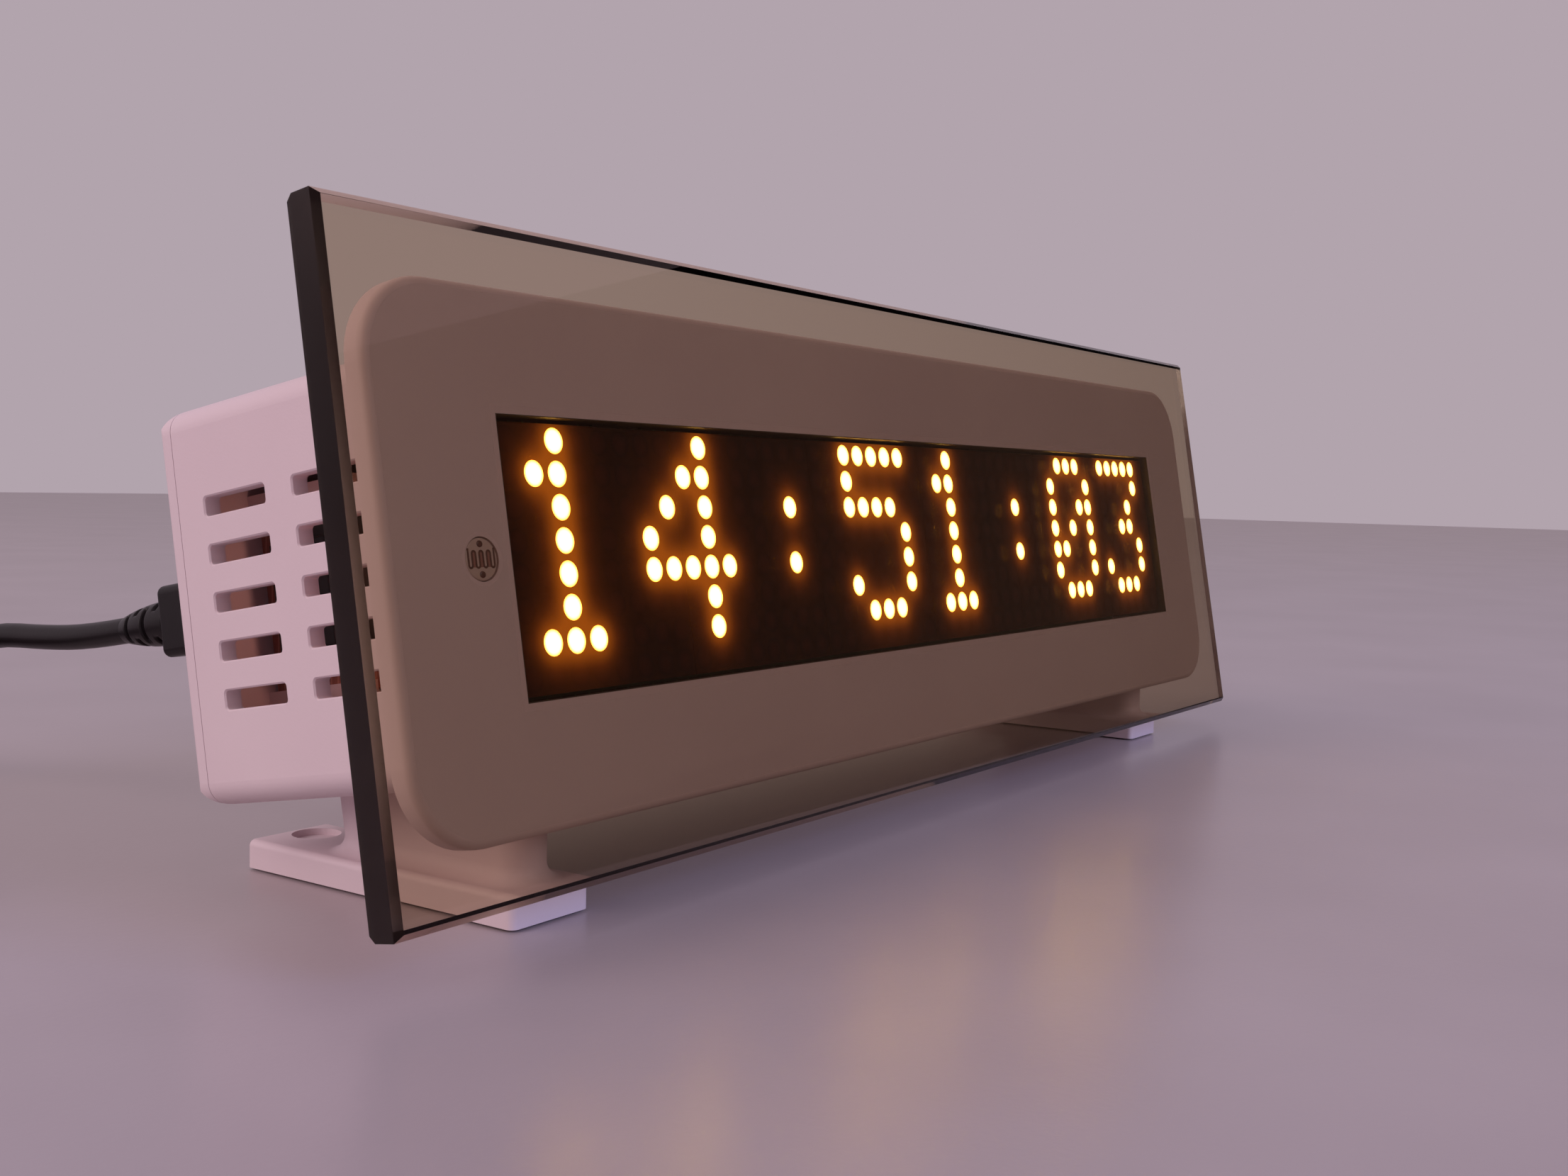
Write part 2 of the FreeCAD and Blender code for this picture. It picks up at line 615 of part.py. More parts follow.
def button_standoffs():
    """Axes of the two standoffs at the ends of the button board."""
    last_switch = (BUTTON_COUNT - 1) / 2 * BUTTON_PITCH + SWITCH_SIDE / 2
    reach = last_switch + SWITCH_TO_STANDOFF + STANDOFF_DIA / 2
    return [(BUTTON_X - reach, BUTTON_Z), (BUTTON_X + reach, BUTTON_Z)]


def rear_cover():
    plate = case_block(FLANGE_Y1, CASE_REAR).common(
        box(-CASE_W, CASE_W, COVER_Y0, CASE_REAR + 1, -CASE_H, CASE_H))
    outer_w = ROOM_W - 2 * RIM_PLAY
    outer_h = ROOM_H - 2 * RIM_PLAY
    rim = rounded_slab(
        outer_w, outer_h, ROOM_CORNER_R, COVER_Y0 - COVER_RIM_DEPTH, COVER_Y0 + LAP)
    rim = rim.cut(box(
        -outer_w / 2 + COVER_RIM, outer_w / 2 - COVER_RIM, 0, CASE_REAR,
        -outer_h / 2 + COVER_RIM, outer_h / 2 - COVER_RIM))
    rim = rim.cut(Part.makeCompound([
        box(x - BOSS_NOTCH / 2, x + BOSS_NOTCH / 2, 0, COVER_Y0,
            z - BOSS_NOTCH / 2, z + BOSS_NOTCH / 2) for x, z in boss_places()]))
    solids = [plate, rim]
    solids += [rod(x, CLOCK_BOARD_Y1, z, STANDOFF_DIA, COVER_Y0 + LAP - CLOCK_BOARD_Y1)
               for x, z in clock_standoffs()]
    solids += [rod(x, BUTTON_BOARD_Y1, z, STANDOFF_DIA, COVER_Y0 + LAP - BUTTON_BOARD_Y1)
               for x, z in button_standoffs()]
    solids += controller_rails()
    cover = join(solids)
    cuts = []
    for x, z in boss_places():
        cuts.append(rod(x, COVER_Y0 - 1, z, SCREW_DIA + 4 * SCREW_PLAY, COVER_THICK + 2))
        cuts.append(Part.makeCone(
            SCREW_DIA / 2 + SCREW_PLAY, SCREW_HEAD_DIA / 2 + SCREW_PLAY, SCREW_HEAD,
            V(x, CASE_REAR - SCREW_SUNK - SCREW_HEAD, z), V(0, 1, 0)))
        cuts.append(rod(
            x, CASE_REAR - SCREW_SUNK, z, SCREW_HEAD_DIA + 2 * SCREW_PLAY, SCREW_SUNK + 1))
    for x, z in button_places():
        cuts.append(rod(x, COVER_Y0 - 1, z, BUTTON_DIA + 2 * BUTTON_PLAY, COVER_THICK + 2))
    small = SMALL_SCREW_DIA + 2 * SCREW_PLAY
    for x, z in clock_standoffs():
        cuts.append(rod(x, CLOCK_BOARD_Y1 - 1, z, small, STANDOFF_HEIGHT + 1))
    for x, z in button_standoffs():
        cuts.append(rod(x, BUTTON_BOARD_Y1 - 1, z, small, STANDOFF_HEIGHT + 1))
    cuts.append(box(
        PORT_X - PORT_HEIGHT / 2 - PORT_PLAY, PORT_X + PORT_HEIGHT / 2 + PORT_PLAY,
        COVER_Y0 - 1, CASE_REAR + 1,
        -PORT_WIDTH / 2 - PORT_PLAY, PORT_WIDTH / 2 + PORT_PLAY))
    return cover.cut(Part.makeCompound(cuts))


def controller_rails():
    """Two grooved rails on the cover that hold the controller board by its edges."""
    rails = []
    for side in (-1, 1):
        edge = side * CTRL_WIDTH / 2
        near = edge - side * RAIL_LIP
        far = edge + side * (RAIL_LIP + RAIL_PLAY)
        middle = (CTRL_X0 + CTRL_X1) / 2
        bar = box(middle - RAIL_WIDTH / 2, middle + RAIL_WIDTH / 2,
                  COVER_Y0 - RAIL_LENGTH, COVER_Y0 + LAP, min(near, far), max(near, far))
        stop = edge + side * RAIL_PLAY
        slot = box(CTRL_X0 - RAIL_PLAY / 2, CTRL_X1 + RAIL_PLAY / 2,
                   COVER_Y0 - RAIL_LENGTH - 1, COVER_Y0,
                   min(near - side, stop), max(near - side, stop))
        rails.append(bar.cut(slot))
    return rails


# ---------------------------------------------------------------- display
def dot_centre(column, row):
    """Centre of a dot on the display face: column from the left, row from the top."""
    middle = (DOTS_PER_SIDE * MODULE_COUNT - 1) / 2
    return (column - middle) * DOT_PITCH, ((DOTS_PER_SIDE - 1) / 2 - row) * DOT_PITCH


def lit_places():
    """Column and row of every dot that is on."""
    return {
        (start + across, row)
        for glyph, start in SHOWN
        for row, line in enumerate(FONT[glyph])
        for across, mark in enumerate(line) if mark == "#"}


def dots(lit):
    """Lens discs of the dots that are on, or of those that are off."""
    on = lit_places()
    return [
        rod(*dot_at(column, row), DOT_DIA, DOT_DEPTH)
        for column in range(DOTS_PER_SIDE * MODULE_COUNT) for row in range(DOTS_PER_SIDE)
        if ((column, row) in on) == lit]


def dot_at(column, row):
    """Front centre of a dot's lens."""
    x, z = dot_centre(column, row)
    return x, 0.0, z


def pin_offsets():
    """Pins of a module from its centre: two rows, above and below."""
    half = (PINS_PER_ROW - 1) / 2
    return [
        ((i - half) * PIN_PITCH, side * PIN_ROW_SPACING / 2)
        for side in (-1, 1) for i in range(PINS_PER_ROW)]


def module_x(index):
    return (index - (MODULE_COUNT - 1) / 2) * MODULE_SIDE


def led_module(index):
    """One square block with a round pocket per dot and two rows of pins at its back."""
    x = module_x(index)
    half = (MODULE_SIDE - MODULE_GAP) / 2
    block = box(x - half, x + half, 0, MODULE_DEPTH, -half, half)
    pins = [
        rod(x + dx, MODULE_DEPTH - LAP, dz, PIN_DIA, PIN_LENGTH + LAP)
        for dx, dz in pin_offsets()]
    block = block.multiFuse(pins)
    pockets = [
        rod(*dot_at(index * DOTS_PER_SIDE + column, row), DOT_DIA, DOT_DEPTH)
        for column in range(DOTS_PER_SIDE) for row in range(DOTS_PER_SIDE)]
    return block.cut(Part.makeCompound(pockets))


def module_sockets():
    """Two pin sockets per module, standing on the display board."""
    strips = []
    length = PINS_PER_ROW * PIN_PITCH
    for index in range(MODULE_COUNT):
        x = module_x(index)
        holes = Part.makeCompound([
            rod(x + dx, MODULE_DEPTH - 1, dz, PIN_DIA + 2 * PIN_PLAY,
                PIN_LENGTH + PIN_END_PLAY + 1)
            for dx, dz in pin_offsets()])
        for side in (-1, 1):
            z = side * PIN_ROW_SPACING / 2
            strip = box(x - length / 2, x + length / 2, MODULE_DEPTH, BOARD_Y0,
                        z - SOCKET_WIDTH / 2, z + SOCKET_WIDTH / 2)
            strips.append(strip.cut(holes))
    return strips


def display_board():
    board = box(-BOARD_W / 2, BOARD_W / 2, BOARD_Y0, BOARD_Y1, -BOARD_H / 2, BOARD_H / 2)
    holes = [
        rod(x, BOARD_Y0 - 1, z, SMALL_SCREW_DIA + 4 * SCREW_PLAY, BOARD_THICK + 2)
        for x, z in post_places()]
    return board.cut(Part.makeCompound(holes))


def driver_chips():
    """One wide chip per module on the back of the display board, body and legs."""
    chips = []
    for index in range(MODULE_COUNT):
        x = module_x(index)
        y0 = BOARD_Y1 + CHIP_STAND
        parts = [box(x - CHIP_LENGTH / 2, x + CHIP_LENGTH / 2, y0, y0 + CHIP_HEIGHT,
                     -CHIP_WIDTH / 2, CHIP_WIDTH / 2)]
        for leg in range(CHIP_LEGS):
            lx = x + (leg - (CHIP_LEGS - 1) / 2) * CHIP_LEG_PITCH
            parts.append(box(lx - CHIP_LEG_WIDTH / 2, lx + CHIP_LEG_WIDTH / 2, BOARD_Y1,
                             BOARD_Y1 + CHIP_LEG_THICK, -CHIP_SPAN / 2, CHIP_SPAN / 2))
        chips.append(join(parts))
    return chips


def board_capacitors():
    """One round capacitor per module, beside its driver chip."""
    cans = []
    for index in range(MODULE_COUNT):
        x = module_x(index) + CHIP_LENGTH / 2 - CAP_DIA / 2
        z = CHIP_SPAN / 2 + CAP_DIA
        base = box(x - CAP_DIA / 2, x + CAP_DIA / 2, BOARD_Y1, BOARD_Y1 + CAP_BASE,
                   z - CAP_DIA / 2, z + CAP_DIA / 2)
        can = rod(x, BOARD_Y1 + CAP_BASE / 2, z, CAP_DIA - CAP_BASE / 2, CAP_HEIGHT)
        cans.append(join([base, can]))
    return cans


# ---------------------------------------------------------------- light sensor
def light_sensor():
    disc = rod(SENSOR_X, SENSOR_Y0, 0, SENSOR_DIA, SENSOR_THICK)
    return disc.makeFillet(SENSOR_EDGE_R, edges_at(disc, "y", SENSOR_Y0))


def sensor_leads():
    """Two wires from the sensor back and across to the display board's left edge."""
    leads = []
    for side in (-1, 1):
        z = side * SENSOR_LEAD_PITCH / 2
        back = BOARD_Y1 + SENSOR_LEAD_BEHIND
        landing = -BOARD_W / 2 + SENSOR_LEAD_LANDING
        points = [
            V(SENSOR_X, SENSOR_Y0 + SENSOR_THICK, z),
            V(SENSOR_X, SENSOR_Y0 + SENSOR_THICK + 6, z),
            V(SENSOR_X + 1.4, back - 2.4, z),
            V(SENSOR_X + 3.0, back, z),
            V(landing, back - 0.6, z),
            V(landing, BOARD_Y1, z)]
        leads.append(smooth_tube(points, SENSOR_LEAD_DIA))
    return leads


# ---------------------------------------------------------------- controller
def controller_board():
    return box(CTRL_X0, CTRL_X1, CTRL_Y0, CTRL_Y1, -CTRL_WIDTH / 2, CTRL_WIDTH / 2)


def processor_module():
    """Small board soldered flat on the controller's left face."""
    return box(CTRL_X0 - PROC_THICK, CTRL_X0, PROC_Y1 - PROC_LENGTH, PROC_Y1,
               -PROC_WIDTH / 2, PROC_WIDTH / 2)


def processor_shield():
    """Flat can over the processor."""
    x1 = CTRL_X0 - PROC_THICK
    y1 = PROC_Y1 - SHIELD_INSET
    can = box(x1 - SHIELD_HEIGHT, x1, y1 - SHIELD_LENGTH, y1,
              -SHIELD_WIDTH / 2, SHIELD_WIDTH / 2)
    return can.makeFillet(SHIELD_EDGE_R, edges_at(can, "x", x1 - SHIELD_HEIGHT))


def power_socket():
    """Thin steel shell, open at the rear, with a tongue inside."""
    y0 = PORT_Y1 - PORT_DEPTH
    shell = box(PORT_X - PORT_HEIGHT / 2, PORT_X + PORT_HEIGHT / 2, y0, PORT_Y1,
                -PORT_WIDTH / 2, PORT_WIDTH / 2)
    bore = box(
        PORT_X - PORT_HEIGHT / 2 + PORT_WALL, PORT_X + PORT_HEIGHT / 2 - PORT_WALL,
        y0 + PORT_WALL, PORT_Y1 + 1,
        -PORT_WIDTH / 2 + PORT_WALL, PORT_WIDTH / 2 - PORT_WALL)
    return shell.cut(bore)


def cable_headers():
    """Two plastic connectors: on the display board's back and on the controller's right face."""
    half = HEADER_WIDTH / 2
    first = box(HEADER_X - half, HEADER_X + half, BOARD_Y1, BOARD_Y1 + HEADER_HEIGHT,
                HEADER_Z, HEADER_Z + HEADER_THICK)
    y = CTRL_Y0 + HEADER_THICK
    second = box(CTRL_X1, CTRL_X1 + HEADER_HEIGHT, y - HEADER_THICK / 2,
                 y + HEADER_THICK / 2, -half, half)
    return [first, second]


def display_cable():
    """Five wires between the two connectors."""
    wires = []
    y_first = BOARD_Y1 + HEADER_HEIGHT
    z_first = HEADER_Z + HEADER_THICK / 2
    x_second = CTRL_X1 + HEADER_HEIGHT
    y_second = CTRL_Y0 + HEADER_THICK
    for i in range(CABLE_WIRES):
        step = (i - (CABLE_WIRES - 1) / 2)
        x = HEADER_X + step * PIN_PITCH
        z = step * PIN_PITCH
        points = [
            V(x, y_first, z_first),
            V(x, y_first + 5, z_first),
            V(x_second + 9 + 0.4 * i, y_second + 5, (z + z_first) / 2),
            V(x_second + 6, y_second, z),
            V(x_second, y_second, z)]
        wires.append(smooth_tube(points, WIRE_DIA))
    return wires


# ---------------------------------------------------------------- timekeeper board
def clock_board():
    y1 = CLOCK_BOARD_Y1
    board = box(CLOCK_BOARD_X - CLOCK_BOARD_W / 2, CLOCK_BOARD_X + CLOCK_BOARD_W / 2,
                y1 - BOARD_THICK, y1, -CLOCK_BOARD_H / 2, CLOCK_BOARD_H / 2)
    holes = [rod(x, y1 - BOARD_THICK - 1, z, SMALL_SCREW_DIA + 4 * SCREW_PLAY, BOARD_THICK + 2)
             for x, z in clock_standoffs()]
    return board.cut(Part.makeCompound(holes))


def cell_holder():
    """Round tray for the coin cell, open at the front, on the board's front face."""
    y1 = CLOCK_BOARD_Y1 - BOARD_THICK
    depth = HOLDER_FLOOR + CELL_THICK
    outer = rod(CELL_X, y1 - depth, 0, CELL_DIA + 2 * CELL_PLAY + 2 * HOLDER_WALL, depth)
    inner = rod(CELL_X, y1 - depth - 1, 0, CELL_DIA + 2 * CELL_PLAY, CELL_THICK + 1)
    notch = box(CELL_X - HOLDER_NOTCH / 2, CELL_X + HOLDER_NOTCH / 2, y1 - depth - 1,
                y1 - HOLDER_FLOOR, CELL_DIA / 2 - HOLDER_NOTCH_REACH, CELL_DIA)
    return outer.cut(inner).cut(notch)


def coin_cell():
    y1 = CLOCK_BOARD_Y1 - BOARD_THICK - HOLDER_FLOOR
    can = rod(CELL_X, y1 - CELL_CAN_THICK, 0, CELL_DIA, CELL_CAN_THICK)
    cap = rod(CELL_X, y1 - CELL_THICK, 0, CELL_DIA - 2 * CELL_CAP_INSET, CELL_THICK / 2)
    return join([can, cap])


def clock_chip():
    """Timekeeper chip on the rear face of its board."""
    half = CLOCK_CHIP_LENGTH / 2
    return box(CLOCK_BOARD_X - half, CLOCK_BOARD_X + half, CLOCK_BOARD_Y1,
               CLOCK_BOARD_Y1 + CHIP_HEIGHT, -CLOCK_CHIP_WIDTH / 2, CLOCK_CHIP_WIDTH / 2)


# ---------------------------------------------------------------- setting buttons
def button_board():
    y1 = BUTTON_BOARD_Y1
    ends = button_standoffs()
    reach = ends[1][0] - BUTTON_X + STANDOFF_DIA / 2 + STANDOFF_INSET
    board = box(BUTTON_X - reach, BUTTON_X + reach, y1 - BOARD_THICK, y1,
                BUTTON_Z - SWITCH_SIDE, BUTTON_Z + SWITCH_SIDE)
    holes = [rod(x, y1 - BOARD_THICK - 1, z, SMALL_SCREW_DIA + 4 * SCREW_PLAY, BOARD_THICK + 2)
             for x, z in ends]
    return board.cut(Part.makeCompound(holes))


def button_switches():
    """Square switch bodies with a round well for the plunger."""
    bodies = []
    half = SWITCH_SIDE / 2
    top = BUTTON_BOARD_Y1 + SWITCH_HEIGHT
    deep = PLUNGER_HIDDEN + BUTTON_TRAVEL + WELL_END_PLAY
    for x, z in button_places():
        body = box(x - half, x + half, BUTTON_BOARD_Y1, top, z - half, z + half)
        well = rod(x, top - deep, z, PLUNGER_DIA + 2 * PLUNGER_PLAY, deep + 1)
        bodies.append(body.cut(well))
    return bodies


def switch_plunger(x, z):
    top = BUTTON_BOARD_Y1 + SWITCH_HEIGHT
    return rod(x, top - PLUNGER_HIDDEN, z, PLUNGER_DIA, PLUNGER_HIDDEN + PLUNGER_SHOWN)


def set_button(x, z):
    """Domed cap in the cover's hole, with a flange that keeps it inside."""
    y0 = BUTTON_BOARD_Y1 + SWITCH_HEIGHT + PLUNGER_SHOWN
    flange = rod(x, y0, z, BUTTON_FLANGE_DIA, BUTTON_FLANGE)
    cap = rod(x, y0, z, BUTTON_DIA, CASE_REAR + BUTTON_PROUD - y0)
    cap = cap.makeFillet(BUTTON_EDGE_R, edges_at(cap, "y", CASE_REAR + BUTTON_PROUD))
    return join([flange, cap])


# ---------------------------------------------------------------- screws
def cover_screws():
    screw = countersunk_screw(SCREW_DIA, COVER_SCREW_LENGTH, SCREW_HEAD_DIA, SCREW_HEAD)
    face = CASE_REAR - SCREW_SUNK
    return [place(screw, V(x, face, z), V(0, 1, 0)) for x, z in boss_places()]


def display_screws():
    screw = pan_screw(SMALL_SCREW_DIA, SMALL_SCREW_LENGTH, SMALL_HEAD_DIA, SMALL_HEAD)
    return [place(screw, V(x, BOARD_Y1, z), V(0, 1, 0)) for x, z in post_places()]


def board_screws():
    """Screws of the timekeeper board and of the button board, driven from the front."""
    screw = pan_screw(SMALL_SCREW_DIA, SMALL_SCREW_LENGTH - 1, SMALL_HEAD_DIA, SMALL_HEAD)
    screws = [place(screw, V(x, CLOCK_BOARD_Y1 - BOARD_THICK, z), V(0, -1, 0))
              for x, z in clock_standoffs()]
    screws += [place(screw, V(x, BUTTON_BOARD_Y1 - BOARD_THICK, z), V(0, -1, 0))
               for x, z in button_standoffs()]
    return screws


def foot_screws():
    screw = pan_screw(SCREW_DIA, FOOT_SCREW_LENGTH, SCREW_HEAD_DIA, SCREW_HEAD)
    return [place(screw, V(x, y, -ROOM_H / 2), V(0, 0, 1)) for x, y in foot_screw_places()]


# ---------------------------------------------------------------- feet (row frame)
def slot_wire(x, y0, y1, width, z):
    """Outline with two straight sides and two half-round ends, in a level plane."""
    r = width / 2
    a = V(x - r, y0 + r, z)
    b = V(x - r, y1 - r, z)
    c = V(x + r, y1 - r, z)
    d = V(x + r, y0 + r, z)
    return Part.Wire([
        Part.LineSegment(a, b).toShape(),
        Part.Arc(b, V(x, y1, z), c).toShape(),
        Part.LineSegment(c, d).toShape(),
        Part.Arc(d, V(x, y0, z), a).toShape()])


def pad_places():
    """Centres of the two pads under a foot."""
    return (FOOT_Y0 + PAD_FROM_END, FOOT_Y1 - PAD_FROM_END)


def foot(side):
    """Long base with a half-round-ended web that rises to the leaning case's underside."""
    x = side * FOOT_X
    half = FOOT_WIDTH / 2
    base = box(x - half, x + half, FOOT_Y0, FOOT_Y1, PAD_PROUD, FOOT_TOP)
    base = base.makeFillet(FOOT_CORNER_R, [
        e for e in base.Edges if abs(e.tangentAt(e.FirstParameter).z) > 0.9])
    base = base.makeFillet(FOOT_TOP_R, edges_at(base, "z", FOOT_TOP))
    web_front = FOOT_Y0 + WEB_SETBACK
    web_rear = web_front + WEB_LENGTH
    high = CENTRE_Z
    grow = WEB_FLARE * (high - FOOT_TOP) / (CENTRE_Z - CASE_H / 2 - FOOT_TOP)
    web = Part.makeLoft([
        slot_wire(x, web_front, web_rear, WEB_WIDTH, FOOT_TOP - LAP),
        slot_wire(x, web_front, web_rear + grow, WEB_WIDTH, high)], True, True)
    above = lean(box(-CASE_W, CASE_W, -CASE_W, CASE_W, -CASE_H / 2, CASE_H * 2))
    web = web.cut(above)
    body = base.fuse(web).removeSplitter()
    joint = [
        e for e in body.Edges
        if all(abs(v.Point.z - FOOT_TOP) < 1e-4 for v in e.Vertexes)
        and abs(e.CenterOfMass.z - FOOT_TOP) < 1e-4
        and abs(e.CenterOfMass.x - x) < WEB_WIDTH / 2 + 0.1
        and web_front - 0.1 < e.CenterOfMass.y < web_rear + WEB_FLARE]
    body = body.makeFillet(WEB_FILLET, joint)
    cuts = [rod(x - side * DIMPLE_INWARD, FOOT_Y1 - DIMPLE_FROM_REAR, FOOT_TOP - DIMPLE_DEPTH,
                DIMPLE_DIA, DIMPLE_DEPTH + 1, V(0, 0, 1))]
    for y in pad_places():
        cuts.append(rod(x, y, 0, PAD_DIA, PAD_THICK, V(0, 0, 1)))
    for sx, sy in foot_screw_places():
        if sx * side > 0:
            drill = rod(sx, sy, -ROOM_H / 2 - FOOT_SCREW_LENGTH - SCREW_END_PLAY,
                        SCREW_DIA + 2 * SCREW_PLAY, FOOT_SCREW_LENGTH, V(0, 0, 1))
            cuts.append(lean(drill))
    return body.cut(Part.makeCompound(cuts))


def foot_pads():
    """Rubber discs, two under each foot."""
    return [rod(side * FOOT_X, y, 0, PAD_DIA, PAD_THICK, V(0, 0, 1))
            for side in (-1, 1) for y in pad_places()]


# ---------------------------------------------------------------- power lead
def power_plug():
    """Moulded plug head, taller than wide, with rounded long edges."""
    head = rounded_slab(HEAD_WIDTH, HEAD_HEIGHT, HEAD_ROUND, HEAD_Y0, HEAD_Y1, PORT_X, 0)
    return head.makeFillet(HEAD_END_ROUND, edges_at(head, "y", HEAD_Y1))


def plug_shell():
    """Metal tongue of the plug, inside the socket."""
    grow = PORT_WALL + PLUG_SHELL_PLAY
    return box(
        PORT_X - PORT_HEIGHT / 2 + grow, PORT_X + PORT_HEIGHT / 2 - grow,
        PORT_Y1 - PORT_DEPTH + PORT_WALL + PLUG_SHELL_END_PLAY, HEAD_Y0,
        -PORT_WIDTH / 2 + grow, PORT_WIDTH / 2 - grow)


def bulged_sleeve(length, dia, middle_dia, end_dia):
    """Solid of revolution along +Z with an arc for its outline."""
    outline = Part.Wire([
        Part.LineSegment(V(0, 0, 0), V(dia / 2, 0, 0)).toShape(),
        Part.Arc(V(dia / 2, 0, 0), V(middle_dia / 2, 0, length / 2),
                 V(end_dia / 2, 0, length)).toShape(),
        Part.LineSegment(V(end_dia / 2, 0, length), V(0, 0, length)).toShape(),
        Part.LineSegment(V(0, 0, length), V(0, 0, 0)).toShape()])
    return Part.Face(outline).revolve(V(0, 0, 0), V(0, 0, 1), 360)


def ribbed_relief(length, dia, middle_dia, end_dia, ribs):
    """Bulged sleeve along +Z with grooves between its ribs."""
    deep = 2 * RELIEF_GROOVE
    core = bulged_sleeve(length, dia - deep, middle_dia - deep, end_dia - deep)
    pitch = length / (ribs + 1)
    rings = [
        Part.makeCylinder(dia, pitch * RELIEF_GROOVE_SHARE, V(0, 0, pitch * (i + 0.8)))
        for i in range(ribs - 1)]
    sleeve = bulged_sleeve(length, dia, middle_dia, end_dia)
    return sleeve.cut(Part.makeCompound(rings).cut(core))


def strain_relief():
    sleeve = ribbed_relief(
        RELIEF_LENGTH, RELIEF_DIA, RELIEF_MIDDLE_DIA, RELIEF_END_DIA, RELIEF_RIBS)
    return place(sleeve, V(PORT_X, HEAD_Y1, 0), V(0, 1, 0))


def cord_points():
    """Route from the strain relief down to the coil, in the row frame, chosen by hand."""
    return [
        lean_point(PORT_X, RELIEF_Y1, 0),
        lean_point(PORT_X, RELIEF_Y1 + 10, 0),
        V(-92.2, 79.5, 25.9),
        V(-92.3, 94.5, 25.5),
        V(-92.9, 106.0, 21.4),
        V(-94.0, 116.5, 14.4),
        V(-95.4, 128.0, 5.8),
        V(COIL_X + OUTER_TURN_R, COIL_Y, LOW_TURN_Z)]


def tail_points():
    """Route from the coil's upper turn to the far plug, in the row frame, chosen by hand."""
    return [
        V(COIL_X - OUTER_TURN_R, COIL_Y, HIGH_TURN_Z),
        V(COIL_X - OUTER_TURN_R - 0.6, COIL_Y - 11.0, HIGH_TURN_Z - 0.4),
        V(USB_X, COIL_Y - 25.0, USB_HEIGHT / 2),
        V(USB_X, USB_TAIL_Y, USB_HEIGHT / 2)]


def cord_coil():
    """Outer shape of the wound length: a flat ring that lies on the tie."""
    low = V(COIL_X, COIL_Y, TIE_THICK)
    ring = Part.makeCylinder(COIL_OUT_R, COIL_HEIGHT, low).cut(
        Part.makeCylinder(COIL_IN_R, COIL_HEIGHT, low))
    return ring.cut(tie_block(0))


def tie_block(grow):
    """Space that the tie takes round the ring's section, at the ring's rear."""
    half = TIE_WIDTH / 2
    inner = COIL_IN_R - grow
    outer = COIL_OUT_R + grow
    return box(COIL_X - half, COIL_X + half, COIL_Y + inner - TIE_REACH, COIL_Y + outer,
               TIE_THICK - grow, TIE_THICK + COIL_HEIGHT + grow)


def cord_tie():
    """Strap round the turns."""
    half = TIE_WIDTH / 2
    outer = box(COIL_X - half, COIL_X + half, COIL_Y + COIL_IN_R - TIE_THICK - 1,
                COIL_Y + COIL_OUT_R + TIE_THICK, 0, COIL_HEIGHT + 2 * TIE_THICK)
    hole = box(COIL_X - half - 1, COIL_X + half + 1, COIL_Y + COIL_IN_R - 1,
               COIL_Y + COIL_OUT_R, TIE_THICK, TIE_THICK + COIL_HEIGHT)
    return outer.cut(hole)


def usb_plug():
    """Flat moulded body of the far plug, lying on the surface."""
    body = rounded_slab(USB_WIDTH, USB_HEIGHT, USB_ROUND, USB_FRONT_Y, USB_BACK_Y, USB_X,
                        USB_HEIGHT / 2)
    return body.makeFillet(USB_END_ROUND, edges_at(body, "y", USB_BACK_Y))


def usb_plug_shell():
    """Open metal shell of the far plug."""
    y0 = USB_FRONT_Y - USB_SHELL_LENGTH
    z = USB_HEIGHT / 2
    outer = box(USB_X - USB_SHELL_WIDTH / 2, USB_X + USB_SHELL_WIDTH / 2, y0, USB_FRONT_Y,
                z - USB_SHELL_HEIGHT / 2, z + USB_SHELL_HEIGHT / 2)
    w = USB_SHELL_WALL
    inner = box(USB_X - USB_SHELL_WIDTH / 2 + w, USB_X + USB_SHELL_WIDTH / 2 - w, y0 - 1,
                USB_FRONT_Y, z - USB_SHELL_HEIGHT / 2 + w, z + USB_SHELL_HEIGHT / 2 - w)
    return outer.cut(inner)


def usb_plug_tongue():
    """Plastic tongue in the far plug's shell."""
    w = USB_SHELL_WALL
    z = USB_HEIGHT / 2 - USB_SHELL_HEIGHT / 2 + w
    return box(USB_X - USB_SHELL_WIDTH / 2 + w, USB_X + USB_SHELL_WIDTH / 2 - w,
               USB_FRONT_Y - USB_SHELL_LENGTH + USB_TONGUE_RECESS, USB_FRONT_Y,
               z, z + USB_TONGUE_THICK)


def usb_strain_relief():
    sleeve = ribbed_relief(
        USB_RELIEF, RELIEF_DIA, RELIEF_MIDDLE_DIA, RELIEF_END_DIA, RELIEF_RIBS)
    return place(sleeve, V(USB_X, USB_BACK_Y, USB_HEIGHT / 2), V(0, 1, 0))


# ---------------------------------------------------------------- write every sub-part
def lean_all(shapes):
    return [lean(shape) for shape in shapes]


